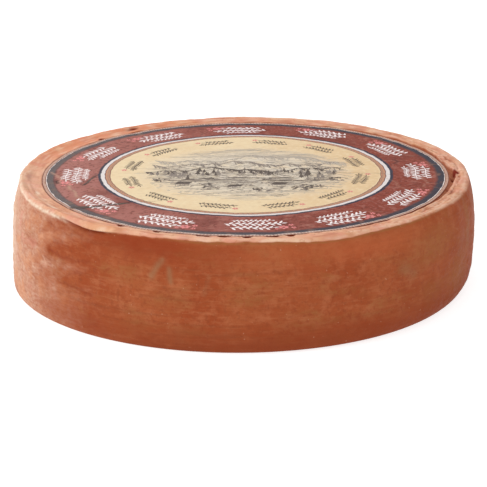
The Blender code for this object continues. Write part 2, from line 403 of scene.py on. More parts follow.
def build_rind(material):
    outline = rind_rows()
    rows = len(outline[0])
    angle = np.tile(np.arange(COLUMNS) * tau / COLUMNS, (rows, 1))
    radius, height, out_radius, out_height, run = (
        np.repeat(values[:, None], COLUMNS, axis=1) for values in outline
    )
    places = np.stack((radius * np.cos(angle), radius * np.sin(angle), height), axis=-1)
    ring = np.stack((np.cos(angle), np.sin(angle), np.zeros(angle.shape)), axis=-1)
    gap = open_gap(angle, radius)
    edge = lip_edge(angle)
    left = smooth_step(cos(radians(58)), cos(radians(18)), np.cos(angle - radians(185)))
    right = smooth_step(cos(radians(70)), cos(radians(35)), np.cos(angle - radians(350)))

    # The same unevenness as the solid's
    rim = smooth_step(PAPER_SEAT_RADIUS, LIP_RADIUS, radius)
    top_share = smooth_step(PAPER_HEIGHT - TOP_BLEND, PAPER_HEIGHT - TOP_FLAT, height)
    moved = OVAL * np.cos(2 * angle) + THREE_LOBES * np.cos(3 * angle) + side_swell(angle, height)
    moved += SHOULDER_WIDER_IN_FRONT * np.sin(angle) * shoulder_inset(height)
    moved -= FOOT_WIDER_AT_RIGHT * np.cos(angle) * foot_inset(height)
    moved = radius + moved * rim
    raised = height + (lip_lift(angle, radius) + groove_spots(angle, radius)) * top_share

    # The rind fills the groove up to the label's edge, except where the gap is open
    on_top = (run < 0.0) & (height > PAPER_HEIGHT - TOP_BLEND)
    outside = run > 0.0
    beside = smooth_step(0.1580, 0.1592, radius) * (1.0 - smooth_step(0.1640, 0.1675, radius)) * on_top
    filled = PAPER_HEIGHT - 0.0001 + 0.00025 * field(ring * 22.0, 1.0, 3)
    filled += 0.0006 * right * smooth_step(0.0, 0.0016, radius - gap_end(angle))
    raised += beside * (1.0 - gap) * (filled - raised)
    raised -= 0.0008 * gap * bump((radius - 0.1598) / 0.0018) * on_top
    raised -= 0.0003 * (1.0 - smooth_step(0.1560, 0.1584, radius)) * on_top
    in_gap = gap * (1.0 - slit_share(angle)) * bump((radius - 0.1628) / 0.0026) * on_top
    raised += in_gap * lumps(places, GAP_LUMPS)

    # The lip's inner edge wanders, most at the right
    wander = field(ring * 9.0, 1.0, 4) + 0.6 * field(ring * 27.0, 1.0, 5)
    moved += (0.0007 + 0.0003 * right) * wander * bump((radius - 0.1664) / 0.0022) * on_top
    raised += right * bump((radius - 0.1660) / 0.0034) * on_top * lumps(places, RIM_CRUMPLES)
    for points, half_width, strength in TOP_CREASES:
        raised -= 0.0010 * strength * near_line(angle, radius, points, 1.2 * half_width, 0.0) * on_top

    # The fold cuts in under the lip's lower edge, and the lip bulges over it
    folded = fold_share(angle) * outside
    moved -= 0.0024 * folded * bump((height - edge + 0.0007) / 0.0009)
    moved += 0.0006 * folded * bump((height - edge - 0.0011) / 0.0012)

    # All round, the lip ends in a small step. At the left the shoulder has a crest, with a hollow inside it.
    step = smooth_step(-0.0004, 0.0005, edge - height) * smooth_step(0.055, 0.072, height)
    moved -= 0.00028 * step * outside
    moved += 0.0006 * left_crest(angle, height) * outside
    raised -= 0.0007 * left * bump((radius - 0.1690) / 0.0030) * on_top

    # Lumps, dents, long level streaks, grain and creases
    side = smooth_step(-0.002, 0.010, run)
    relief = lumps(places, *RIND_LUMPS) + side * (lumps(places, SIDE_STREAKS) - SIDE_SET_BACK)
    relief -= DENT_DEPTH * smooth_step(0.45, 0.95, field(places, (55.0, 55.0, 80.0), 8))
    relief += left * side * (lumps(places, *LEFT_CRUMPLES) - LEFT_SET_BACK)
    for points, half_width, strength in TONGUES:
        relief -= 0.0006 * strength * near_line(angle, height, points, half_width, 0.0) * outside
    for points, half_width, strength in SIDE_CREASES:
        relief -= 0.0012 * strength * near_line(angle, height, points, 1.3 * half_width, 0.0) * outside
    relief *= smooth_step(0.1590, 0.1620, radius) * smooth_step(0.0004, 0.0030, height)
    moved += relief * out_radius
    raised = np.minimum(raised + relief * out_height, CAD_BOX[1][2])

    leaning = 1.0 - height / PAPER_HEIGHT
    x = np.clip(CENTRE_X + moved * np.cos(angle) + LEAN_X * leaning, CAD_BOX[0][0], CAD_BOX[1][0])
    y = np.clip(CENTRE_Y + moved * np.sin(angle) + LEAN_Y * leaning, CAD_BOX[0][1], CAD_BOX[1][1])
    points = np.stack((x, y, raised), axis=-1).reshape(-1, 3)
    top = (CENTRE_X, CENTRE_Y, SEAT_HEIGHT)
    low = (CENTRE_X + LEAN_X, CENTRE_Y + LEAN_Y, 0.0)
    points = np.concatenate((points, (top, low)))

    piece = new_piece("cheese_rind", points.tolist(), turned_faces(rows, COLUMNS), material)
    write_rind_marks(piece, angle, radius, height, raised, run)
    write_rind_map(piece, rows, radius[:, 0], run[:, 0])
    return piece


def turned_faces(rows, columns):
    """Faces of a turned mesh: quads between rows, and a fan at each end round the last two points."""
    row, column = np.meshgrid(np.arange(rows - 1), np.arange(columns), indexing="ij")
    after = (column + 1) % columns
    first, second = row * columns, (row + 1) * columns
    quads = np.stack((first + column, second + column, second + after, first + after), axis=-1)
    faces = quads.reshape(-1, 4).tolist()
    top, low, last = rows * columns, rows * columns + 1, (rows - 1) * columns
    for column in range(columns):
        after = (column + 1) % columns
        faces.append((top, column, after))
        faces.append((low, last + after, last + column))
    return faces


# Olive smears and scuffs on the side: points as (degrees, height), half width, strength
SMEARS = (
    (((250.9, 0.0664), (249.6, 0.0600), (248.6, 0.0545)), 0.0021, 0.55),
    (((252.7, 0.0608), (253.3, 0.0515)), 0.0019, 0.55),
    (((309.0, 0.0500), (312.5, 0.0440)), 0.0045, 0.30),
    (((262.0, 0.0570), (261.0, 0.0440)), 0.0016, 0.20),
    (((60.0, 0.0600), (63.0, 0.0480)), 0.0030, 0.45),
    (((100.0, 0.0400), (97.0, 0.0300)), 0.0035, 0.35),
    (((20.0, 0.0620), (23.0, 0.0500)), 0.0028, 0.35),
)

# Brown tongues that run into the bloom, darker partly as painted shade in their dips, and with a negative
# strength a pale ridge of it, partly a painted highlight
TONGUES = (
    (((236.0, 0.0660), (227.1, 0.0600), (217.5, 0.0545)), 0.0036, 0.70),
    (((234.0, 0.0480), (229.0, 0.0400), (223.5, 0.0345)), 0.0030, 0.60),
    (((210.5, 0.0370), (220.6, 0.0475), (231.0, 0.0500)), 0.0028, -0.22),
    (((213.0, 0.0620), (224.0, 0.0700), (231.0, 0.0730)), 0.0034, -0.20),
    (((128.0, 0.0560), (140.0, 0.0500)), 0.0050, 0.50),
    (((132.0, 0.0300), (143.0, 0.0250)), 0.0060, -0.30),
)

# Creases in the side at the left of the front, darkened with painted shade: points as (degrees, height), half
# width, strength
SIDE_CREASES = (
    (((216.5, 0.0546), (221.9, 0.0528), (226.5, 0.0534), (231.5, 0.0555)), 0.0011, 0.55),
    (((223.1, 0.0341), (227.3, 0.0334), (232.5, 0.0312)), 0.0011, 0.55),
    (((217.0, 0.0560), (218.5, 0.0610), (222.5, 0.0640)), 0.0010, 0.35),
    (((229.5, 0.0466), (225.5, 0.0430), (224.0, 0.0385)), 0.0010, 0.35),
    (((213.0, 0.0500), (215.0, 0.0455)), 0.0010, 0.30),
    (((209.0, 0.0440), (211.5, 0.0400), (214.5, 0.0390)), 0.0010, 0.25),
    (((212.0, 0.0650), (217.5, 0.0690), (222.0, 0.0740)), 0.0011, 0.25),
    (((131.0, 0.0500), (137.0, 0.0480), (144.0, 0.0500)), 0.0011, 0.40),
    (((217.5, 0.0770), (223.0, 0.0746), (228.5, 0.0722)), 0.0009, 0.32),
    (((214.0, 0.0738), (219.0, 0.0712), (225.0, 0.0690)), 0.0009, 0.28),
    (((221.5, 0.0782), (227.0, 0.0756), (232.5, 0.0738)), 0.0008, 0.34),
    (((205.0, 0.0560), (209.5, 0.0540), (213.0, 0.0546)), 0.0009, 0.26),
    (((206.0, 0.0330), (211.0, 0.0310), (216.0, 0.0318)), 0.0009, 0.24),
    (((215.5, 0.0490), (217.5, 0.0475), (220.0, 0.0482)), 0.0008, 0.45),
    (((216.5, 0.0455), (218.5, 0.0440)), 0.0007, 0.40),
    (((221.0, 0.0345), (223.0, 0.0330), (224.5, 0.0335)), 0.0008, 0.45),
    (((219.5, 0.0375), (222.0, 0.0362)), 0.0007, 0.35),
)

# Creases in the top of the rim at the right, darkened with painted shade: points as (degrees, radius), half
# width, strength
TOP_CREASES = (
    (((16.0, 0.1664), (9.0, 0.1674), (2.5, 0.1668)), 0.0006, 0.60),
    (((17.0, 0.1622), (9.0, 0.1614), (3.5, 0.1616)), 0.0006, 0.50),
    (((33.0, 0.1648), (25.0, 0.1638), (19.0, 0.1650)), 0.0005, 0.40),
    (((-3.5, 0.1660), (-6.5, 0.1674), (-10.0, 0.1668)), 0.0006, 0.45),
    (((-14.0, 0.1652), (-18.0, 0.1646), (-22.0, 0.1654)), 0.0006, 0.40),
    (((-27.0, 0.1640), (-34.0, 0.1634), (-42.0, 0.1640)), 0.0005, 0.35),
)

# Patches of other colour, a few of them painted shade under the rim and painted highlights on the crest:
# mark, degrees, run past the lip's top, half length, half width, strength
PATCHES = (
    # The first two red patches lie just under the rim: dark red that is partly painted shade
    ("red", 246.0, 0.0080, 0.046, 0.0120, 1.0),
    ("red", 262.0, 0.0120, 0.034, 0.0090, 0.60),
    ("red", 229.0, 0.0750, 0.050, 0.0110, 0.60),
    ("red", 300.0, 0.0760, 0.090, 0.0110, 0.60),
    ("red", 331.0, 0.0520, 0.060, 0.0360, 0.50),
    ("red", 331.0, 0.0760, 0.070, 0.0200, 0.85),
    ("red", 40.0, 0.0660, 0.080, 0.0160, 0.50),
    ("red", 105.0, 0.0300, 0.060, 0.0180, 0.40),
    ("olive", 320.7, 0.0220, 0.026, 0.0130, 0.45),
    ("olive", 333.0, 0.0560, 0.022, 0.0170, 0.40),
    ("olive", 319.0, 0.0580, 0.020, 0.0100, 0.30),
    ("olive", 338.8, 0.0250, 0.006, 0.0300, 0.45),
    ("olive", 292.0, 0.0060, 0.055, 0.0050, 0.12),
    ("bright", 296.0, 0.0110, 0.075, 0.0110, 0.75),
    ("olive", 192.0, -0.0010, 0.014, 0.0016, 0.40),
    ("olive", 10.0, 0.0350, 0.030, 0.0200, 0.35),
    ("mauve", 334.3, 0.0250, 0.006, 0.0300, 0.22),
    ("mauve", 349.0, 0.0300, 0.009, 0.0300, 0.40),
    ("mauve", 182.0, -0.0044, 0.015, 0.0020, 0.60),
    ("mauve", 211.0, -0.0006, 0.005, 0.0009, 0.90),
    ("mauve", 75.0, 0.0500, 0.040, 0.0250, 0.35),
    ("white", 197.6, -0.0076, 0.0050, 0.0012, 1.0),
    ("white", 212.6, -0.0028, 0.0050, 0.0013, 0.9),
    ("white", 205.0, -0.0058, 0.0080, 0.0007, 0.5),
    ("white", 219.5, -0.0062, 0.0110, 0.0007, 0.5),
    ("white", 186.0, 0.0380, 0.030, 0.0360, 0.60),
    # These two white patches along the crest at the right are painted highlights
    ("white", 3.0, 0.0012, 0.022, 0.0010, 0.35),
    ("white", 334.0, 0.0006, 0.020, 0.0008, 0.30),
)


def strongest_line(lines, angle, across, unevenness):
    """How near places are to the nearest of several lines, counting how strong each is."""
    mark = np.zeros(angle.shape)
    for points, half_width, strength in lines:
        mark = np.maximum(mark, strength * near_line(angle, across, points, half_width, unevenness))
    return mark


def write_rind_marks(piece, angle, radius, height, raised, run):
    """Where each of the rind's colours lies, painted shade and painted highlights among them."""
    places = np.stack((radius * np.cos(angle), radius * np.sin(angle), height), axis=-1)
    wide = field(places, 60.0, 21)
    middle = field(places, 150.0, 22)
    small = field(places, 380.0, 23)
    gap = open_gap(angle, radius)
    slit = slit_share(angle)
    edge = lip_edge(angle)
    outside = run > 0.0
    marks = {}

    def mark(name, values, most=1.0):
        marks[name] = np.maximum(marks.get(name, 0.0), most * values)

    def band(turn, half_length, inner, outer, away, half_width):
        """A band along part of the wheel, where a distance is near 0."""
        return within(angle, turn, half_length, inner, outer) * bump(away / half_width)

    # The pale lip, from the label's edge to its lower edge on the shoulder
    starts = gap_end(angle) + 0.0004 * middle
    level = 1.0 - 0.6 * within(angle, 340.0, 34.0, 0.8, 1.2)
    past = edge - raised + (0.00030 * middle + 0.00010 * small) * level
    soft = 0.00035 + 0.0010 * (1.0 - within(angle, 270.0, 50.0, 0.7, 1.3))
    crest = smooth_step(0.0, 0.0012, radius - starts) * (1.0 - smooth_step(-1.0, 1.0, past / soft))
    crest = np.where(height < PAPER_HEIGHT - 0.03, 0.0, crest)
    mark("crest", crest)

    # The pale bloom round the left end fades towards the front, with tongues of brown in it
    away = np.degrees(turn_from(radians(180), angle))
    reach = np.interp(height, BLOOM_HEIGHTS, BLOOM_REACH)
    faded = np.where(away > 0, away / reach, -away / BLOOM_REACH_BACK)
    bloom = 1.0 - smooth_step(0.45, 1.30, faded + 0.06 * wide + 0.06 * middle)
    for points, half_width, strength in TONGUES:
        bloom -= strength * near_line(angle, height, points, half_width, 0.0012 * middle)
    mark("bloom", bloom)

    # The slits, pits and red spots at the label's edge, darkened with painted shade, and the groove
    in_slit = 1.0 - smooth_step(-0.0004, 0.0005, radius - (PAPER_RADIUS + SLIT_WIDTH * slit))
    mark("painted_recess_shade", (slit > 0.03) * (radius > 0.1575) * in_slit * ~outside)
    pits = smooth_step(0.0006, 0.0024, -groove_spots(angle, radius, pits_only=True))
    mark("painted_recess_shade", pits * (run < 0.002))
    red_spots = smooth_step(0.35, 0.75, field(places, (260.0, 260.0, 60.0), 24))
    mark("painted_recess_shade", red_spots * (gap - slit).clip(0.0, 1.0) * bump((radius - 0.1606) / 0.0018), 0.8)
    mark("groove", gap * smooth_step(0.1578, 0.1588, radius))

    # Painted shade in the fold and the creases, and the smears
    top_creases = strongest_line(TOP_CREASES, angle, radius, 0.0004 * small) * ~outside
    mark("painted_crease_shade", band(227.0, 11.0, 0.35, 1.0, height - edge + 0.0007, 0.0008) * outside, 0.85)
    mark("painted_crease_shade", strongest_line(SIDE_CREASES, angle, height, 0.0004 * small) * outside)
    # Painted shade in the creases on the rim's top, in the fold's dark and in the veins' colour
    mark("painted_crease_shade", top_creases, 0.45)
    mark("vein_and_crease_shade", top_creases, 1.6)
    mark("smear", strongest_line(SMEARS, angle, height, 0.0006 * middle))

    for name, patch_turn, patch_run, half_length, half_width, strength in PATCHES:
        along = turn_from(radians(patch_turn), angle) * radius / half_length
        across = (run - patch_run) / half_width
        mark(name, bump(np.hypot(along, across) + 0.22 * middle + 0.08 * small), strength)
    marks["red"] *= smooth_step(0.0002, 0.0012, past) * outside

    # The redder foot in front, and veins, warmth and white streaks of painted highlight on the lip
    near_foot = 1.0 - smooth_step(0.0, 0.030, height + 0.002 * middle)
    mark("low", near_foot * (1.0 - within(angle, 186.0, 62.0, 0.60, 1.10)))
    lines = np.stack((12.0 * np.cos(angle), 12.0 * np.sin(angle), 520.0 * radius + 300.0 * height), axis=-1)
    veins = field(lines, 1.0, 25)
    mark("vein_and_crease_shade", smooth_step(0.15, 0.75, veins) * crest)
    mark("vein_and_crease_shade", band(134.0, 30.0, 0.6, 1.1, run - 0.0002, 0.0010) * smooth_step(-0.8, 0.5, middle))
    mark("warm", within(angle, 136.0, 36.0, 0.5, 1.2) * smooth_step(-1.4, 0.4, middle))
    # A thin olive line of painted shade just under the lip's lower edge at the front
    mark("olive", band(288.0, 40.0, 0.6, 1.1, past - 0.0008, 0.0007) * outside, 0.65)
    # White painted highlights on the lip: along the crest at the left, the lip's top at the front, glints
    # between the veins, the ridge and specks at the right
    crest_highlight = left_crest(angle, height + 0.0004 * middle) * outside
    mark("white", crest_highlight * smooth_step(-1.6, 0.2, small), 0.90)
    lip_top = band(283.0, 50.0, 0.8, 1.1, past + 0.0012, 0.0006) * outside
    mark("white", lip_top * smooth_step(-0.4, 0.8, middle), 0.28)
    mark("white", smooth_step(0.20, 0.80, -veins) * crest, 0.34)
    ridge = band(352.0, 48.0, 0.7, 1.1, run + 0.0010, 0.0011)
    mark("white", ridge * smooth_step(-0.9, 0.6, middle), 0.42)
    highlight_specks = within(angle, 345.0, 50.0, 0.6, 1.1) * crest
    mark("white", highlight_specks * smooth_step(0.10, 0.75, small), 0.36)

    for name, values in marks.items():
        write_mark(piece, name, np.concatenate((np.clip(values, 0.0, 1.0).ravel(), np.zeros(2))))


MAP_STRIPS = 4
MAP_WIDE = 0.640
MAP_DISC = 0.170


def write_rind_map(piece, rows, row_radius, row_run):
    """Lays the rind out flat: the rim and side in strips, and apart from them the hidden top and the base."""
    mesh = piece.data
    layer = mesh.uv_layers.new(name="OFBake")
    corners = read(mesh.loops, "vertex_index", np.int32)
    starts = read(mesh.polygons, "loop_start", np.int32)
    totals = read(mesh.polygons, "loop_total", np.int32)
    face = np.repeat(np.arange(len(totals)), totals)

    inner = rows * COLUMNS
    row = np.where(corners < inner, corners // COLUMNS, np.where(corners == inner, 0, rows - 1))
    column = corners % COLUMNS
    top_row = int(np.argmax(row_radius > PAPER_RADIUS - 0.003))
    low_row = rows - 1 - int(np.argmax(row_radius[::-1] > WHEEL_RADIUS - FOOT_WIDTH - 0.002))

    face_low = np.minimum.reduceat(row, starts)
    face_high = np.maximum.reduceat(row, starts)
    has_point = np.maximum.reduceat(corners, starts) >= inner
    first_column = np.minimum.reduceat(column, starts)
    wraps = np.maximum.reduceat(column, starts) > COLUMNS // 2
    face_column = np.where(first_column == 0, np.where(wraps, COLUMNS - 1, 0), first_column)[face]
    on_strip = ((face_low >= top_row) & (face_high <= low_row) & ~has_point)[face]

    each = COLUMNS // MAP_STRIPS
    step = (column - face_column) % COLUMNS
    across = (face_column % each + step) / each
    down = (row_run[row] - row_run[top_row]) / (row_run[low_row] - row_run[top_row])
    strip_u = 0.005 + across * MAP_WIDE
    strip_v = (face_column // each + 0.02 + 0.96 * (1.0 - down)) / MAP_STRIPS

    turn = column * tau / COLUMNS
    reach = np.where(corners >= inner, 0.0, row_radius[row] / WHEEL_RADIUS) * MAP_DISC
    high = face_high[face] <= top_row + 1
    disc_u = 0.825 + reach * np.cos(turn)
    disc_v = np.where(high, 0.75, 0.25) + reach * np.sin(turn)
    places = np.stack((np.where(on_strip, strip_u, disc_u), np.where(on_strip, strip_v, disc_v)), axis=-1)
    layer.data.foreach_set("uv", places.astype(np.float32).ravel())


# The label's paper: all its places are millimetres from its centre

BAND_EDGES = {
    "cream": 0.0,
    "inner_line": 105.4,
    "rope": 106.1,
    "outer_line": 108.7,
    "white": 109.4,
    "navy": 112.6,
    "red": 115.0,
    "black": 149.8,
    "white_line": 154.4,
}
PAPER_EDGE = 155.4
LACE_MIDDLE = 156.95
LACE_REACH = 1.60
LACE_LOOPS = 400
LACE_SIDES = 12
LACE_HOLE = 0.50
LACE_EDGE = 158.4
LACE_LIFT = 0.05
LACE_THICKNESS = 0.00022
PAPER_LEVEL = PAPER_HEIGHT - 0.00030
PAPER_DOME = 0.85
PAPER_FOOT = SEAT_HEIGHT - 0.0001
PAPER_COLUMNS = 720
PAPER_RINGS = 98

# Creases and tears: points in millimetres, half width, height, how dark with painted shade, how pale
CREASES = (
    (((-132.9, -90.6), (-110.8, -85.8), (-100.1, -81.7), (-86.0, -79.6)), 1.5, -0.45, 1.0, 0.0),
    (((-86.0, -79.6), (-76.0, -77.4), (-64.0, -75.0)), 0.7, -0.20, 0.45, 0.0),
    (((-124.3, -30.9), (-120.2, -19.0), (-117.5, -8.0), (-116.1, -0.2)), 1.0, -0.35, 0.90, 0.0),
    (((-136.0, -26.9), (-132.9, -41.7), (-127.3, -57.0), (-124.0, -66.0)), 1.1, 0.22, 0.0, 0.80),
    (((-152.0, 3.5), (-148.0, -2.0), (-146.5, -9.0), (-141.5, -13.0), (-142.5, -21.3)), 1.1, 0.25, 0.0, 0.75),
    (((-145.3, -23.5), (-145.0, -18.0)), 2.0, -0.35, 1.0, 0.0),
    (((84.0, -3.2), (96.4, -5.2), (113.8, -7.5)), 0.5, -0.15, 0.40, 0.0),
    (((108.0, -16.0), (114.0, -27.0), (120.0, -46.5)), 0.7, 0.15, 0.0, 0.35),
    (((119.0, 24.0), (121.5, 30.0), (118.0, 36.0)), 1.1, -0.25, 0.75, 0.0),
    (((136.9, -14.4), (139.0, -27.0), (136.3, -38.8)), 0.7, 0.15, 0.0, 0.40),
    (((-96.0, 12.0), (-78.0, 10.5), (-58.0, 12.5)), 0.6, -0.12, 0.20, 0.0),
    (((30.0, -88.0), (62.0, -96.0), (100.0, -103.0)), 0.8, 0.15, 0.0, 0.20),
    (((-30.0, 112.0), (-8.0, 124.0), (22.0, 131.0)), 0.9, -0.20, 0.30, 0.0),
)


def crease_marks(x, y):
    """What the creases do at places in millimetres: height in millimetres, painted shade and paling."""
    wavy_x = x + 0.9 * np.sin(y * 0.31 + 1.0) + 0.4 * np.sin(y * 1.1 + x * 0.4)
    wavy_y = y + 0.9 * np.sin(x * 0.27 + 2.0) + 0.4 * np.sin(x * 0.9 - y * 0.5)
    height, dark, pale = (np.zeros(np.shape(x)) for _ in range(3))
    for points, half_width, rise, darker, paler in CREASES:
        near = bump(distance_to(wavy_x, wavy_y, points) / half_width)
        height += rise * near
        dark = np.maximum(dark, darker * near)
        pale = np.maximum(pale, paler * near)
    return height, dark, pale


def paper_waves():
    """Soft waves of the paper: height in millimetres, waves for each millimetre along x and y, phase."""
    draw = random.Random(12)
    waves = []
    for _ in range(10):
        turn = draw.uniform(0, tau)
        wave = tau / draw.uniform(34, 110)
        waves.append((draw.uniform(0.02, 0.07), wave * cos(turn), wave * sin(turn), draw.uniform(0, tau)))
    return waves


PAPER_WAVES = paper_waves()


def paper_height(x, y):
    """Height of the paper in metres at places given in millimetres from the label's centre."""
    high = sum(rise * np.sin(x * wave_x + y * wave_y + phase) for rise, wave_x, wave_y, phase in PAPER_WAVES)
    away = np.hypot(x, y)
    turn = np.arctan2(y, x)
    near_edge = smooth_step(120.0, 158.0, away)
    high += near_edge * (0.10 * np.sin(19 * turn + 0.7) + 0.08 * np.sin(41 * turn + 2.0))
    places = np.stack((x, y, np.zeros(np.shape(x))), axis=-1)
    high += (0.05 + 0.04 * near_edge) * field(places, 0.11, 51) + 0.03 * field(places, 0.28, 52)
    high += crease_marks(x, y)[0]
    dome = PAPER_DOME * (1.0 - smooth_step(108.0, 148.0, away))
    return PAPER_LEVEL + MM * (np.clip(high, -0.42, 0.30) + dome)


def build_paper(material):
    radii = np.linspace(0.0, PAPER_EDGE, PAPER_RINGS + 1)[1:]
    turn = np.arange(PAPER_COLUMNS) * tau / PAPER_COLUMNS
    x = radii[:, None] * np.cos(turn)
    y = radii[:, None] * np.sin(turn)
    top = np.stack((CENTRE_X + MM * x, CENTRE_Y + MM * y, paper_height(x, y)), axis=-1)
    under = top[-1:].copy()
    under[..., 2] = PAPER_FOOT
    points = np.concatenate((top, under)).reshape(-1, 3)
    middle = (CENTRE_X, CENTRE_Y, float(paper_height(np.zeros(1), np.zeros(1))[0]))
    below = (CENTRE_X, CENTRE_Y, PAPER_FOOT)
    points = np.concatenate((points, (middle, below)))
    piece = new_piece("label_paper", points.tolist(), turned_faces(PAPER_RINGS + 1, PAPER_COLUMNS), material)
    piece.data.set_sharp_from_angle(angle=radians(50))

    dark, pale = crease_marks(x, y)[1:]
    for name, values in (("paper_crease_shade", dark), ("pale_crease", pale)):
        write_mark(piece, name, np.concatenate((values.ravel(), values[-1], np.zeros(2))))
    write_flat_map(piece, PAPER_EDGE * MM, under_corner=True)
    return piece


def write_flat_map(piece, reach, under_corner=False):
    """Maps a flat piece as seen from above, with its underside small in a corner if that is asked for."""
    mesh = piece.data
    layer = mesh.uv_layers.new(name="OFBake")
    corners = read(mesh.loops, "vertex_index", np.int32)
    places = read(mesh.vertices, "co", np.float32, 3).reshape(-1, 3)[corners, :2] - (CENTRE_X, CENTRE_Y)
    flat = 0.5 + 0.495 * places / reach
    if under_corner:
        facing = read(mesh.polygons, "normal", np.float32, 3).reshape(-1, 3)[:, 2]
        hidden = np.repeat(facing < 0.5, read(mesh.polygons, "loop_total", np.int32))
        flat[hidden] = 0.06 + 0.05 * places[hidden] / reach
    layer.data.foreach_set("uv", flat.astype(np.float32).ravel())


def thin_solid(name, flat, rise, thickness, tops, edges, reach, material):
    """A thin piece that lies over the paper: its top faces, and walls below the edges that border them."""
    flat = np.array(flat)
    high = paper_height(flat[:, 0], flat[:, 1]) + rise(flat)
    top = np.column_stack((CENTRE_X + MM * flat[:, 0], CENTRE_Y + MM * flat[:, 1], high))
    low = top - (0.0, 0.0, thickness)
    count = len(flat)
    faces = list(tops)
    faces += [[corner + count for corner in reversed(face)] for face in tops]
    faces += [(start + count, end + count, end, start) for start, end in edges]
    piece = new_piece(name, np.concatenate((top, low)).tolist(), faces, material, smooth=False)
    write_flat_map(piece, reach)
    return piece


def lace_rise(flat):
    """The lace lifts a little towards its outer edge."""
    return MM * LACE_LIFT * smooth_step(PAPER_EDGE, LACE_EDGE, np.hypot(flat[:, 0], flat[:, 1]))


def build_lace(material):
    """The label's lace edge: a chain of flat paper loops."""
    wide = pi * LACE_MIDDLE / LACE_LOOPS * 1.10
    points, tops, edges = [], [], []
    draw = random.Random(8)
    for loop in range(LACE_LOOPS):
        middle = loop * tau / LACE_LOOPS
        grow = draw.uniform(0.94, 1.04)
        first = len(points)
        for share in (1.0, LACE_HOLE):
            for side in range(LACE_SIDES):
                turn = side * tau / LACE_SIDES
                away = LACE_MIDDLE + LACE_REACH * grow * share * cos(turn)
                along = middle + wide * share * sin(turn) / LACE_MIDDLE
                points.append((away * cos(along), away * sin(along)))
        for side in range(LACE_SIDES):
            outer, outer_after = first + side, first + (side + 1) % LACE_SIDES
            inner, inner_after = outer + LACE_SIDES, outer_after + LACE_SIDES
            tops.append((outer, outer_after, inner_after, inner))
            edges += ((outer, outer_after), (inner_after, inner))
    return thin_solid(
        "label_lace", points, lace_rise, LACE_THICKNESS, tops, edges, PAPER_RADIUS * 1.01, material
    )


class Ink:
    """Collects printed shapes, in millimetres from the label's centre, and lays them on the paper."""

    SINK = 0.00008

    def __init__(self, lift):
        self.lift = lift
        self.origin = (0.0, 0.0)
        self.points = []
        self.tops = []
        self.edges = []

    def patch(self, outline):
        """A filled shape, its points running counterclockwise."""
        first = len(self.points)
        self.points.extend((x + self.origin[0], y + self.origin[1]) for x, y in outline)
        ring = list(range(first, first + len(outline)))
        self.tops.append(ring)
        self.edges.extend(zip(ring, ring[1:] + ring[:1]))

    def leaf(self, x, y, turn, length, width, bend=0.0):
        """A leaf from its stalk end, pointing along the turn."""
        outline = []
        for share, side in ((0.0, 0), (0.3, -0.85), (0.6, -0.9), (1.0, 0), (0.6, 0.9), (0.3, 0.85)):
            along = share * length
            across = side * width / 2 + bend * length * share * share
            right = along * cos(turn) - across * sin(turn)
            back = along * sin(turn) + across * cos(turn)
            outline.append((x + right, y + back))
        self.patch(outline)

    def stroke(self, points, width, taper=0.25):
        """A pen stroke through points, thinner at its ends."""
        first = len(self.points)
        last = len(points) - 1
        for at, (x, y) in enumerate(points):
            before, after = points[max(at - 1, 0)], points[min(at + 1, last)]
            dx, dy = after[0] - before[0], after[1] - before[1]
            long = hypot(dx, dy) or 1.0
            half = width / 2 * (taper + (1.0 - taper) * sin(pi * (at + 0.35) / (last + 0.7)))
            x, y = x + self.origin[0], y + self.origin[1]
            self.points.append((x + half * dy / long, y - half * dx / long))
            self.points.append((x - half * dy / long, y + half * dx / long))
        for at in range(last):
            right, left = first + 2 * at, first + 2 * at + 1
            self.tops.append([right, right + 2, left + 2, left])
            self.edges += ((right, right + 2), (left + 2, left))
        self.edges += ((first + 1, first), (first + 2 * last, first + 2 * last + 1))

    def build(self, name, material):
        thickness = self.lift + self.SINK
        parts = (thickness, self.tops, self.edges, PAPER_RADIUS)
        return thin_solid(name, self.points, lambda flat: self.lift, *parts, material)


def around(middle, away, along, out):
    """A place beside a point of a ring: along it, counterclockwise, and outwards, in millimetres."""
    turn = middle + along / away
    return (away + out) * cos(turn), (away + out) * sin(turn)


def leafy_row(ink, draw, middle, away, out, start, end, leaf_length, leaf_width, pitch, stem):
    """A twig of a garland: a waving stem with leaves on its two sides in turn, all pointing forwards."""
    steps = max(int((end - start) / 2.0), 3)
    wave = 0.10 * leaf_length
    line = []
    for step in range(steps + 1):
        along = start + (end - start) * step / steps
        line.append(around(middle, away, along, out + wave * sin(along * 1.2 / leaf_length)))
    ink.stroke(line, stem, taper=0.5)
    for at in range(int((end - start) / pitch)):
        along = start + pitch * (at + 0.4)
        x, y = around(middle, away, along, out + wave * sin(along * 1.2 / leaf_length))
        forward = middle + along / away + pi / 2
        side = 1 if at % 2 else -1
        turn = forward + side * radians(draw.uniform(36, 54))
        size = draw.uniform(0.86, 1.10)
        ink.leaf(x, y, turn, leaf_length * size, leaf_width * size, bend=0.12 * side)
    x, y = around(middle, away, end, out)
    ink.leaf(x, y, middle + end / away + pi / 2, leaf_length * 0.8, leaf_width * 0.8)


def blossom(ink, x, y, reach, petals, turn):
    for petal in range(petals):
        way = turn + petal * tau / petals
        ink.leaf(x + 0.16 * reach * cos(way), y + 0.16 * reach * sin(way), way, reach * 0.84, reach * 0.62)


# The leafy blocks on the ring: degrees and how far out
GARLANDS = (
    (0.6, 134.8), (30.2, 134.2), (60.6, 135.6), (92.0, 132.0), (123.2, 131.2), (153.0, 133.6), (181.8, 133.4),
    (215.4, 134.2), (244.6, 135.2), (273.0, 133.2), (300.6, 137.0), (329.8, 136.2),
)


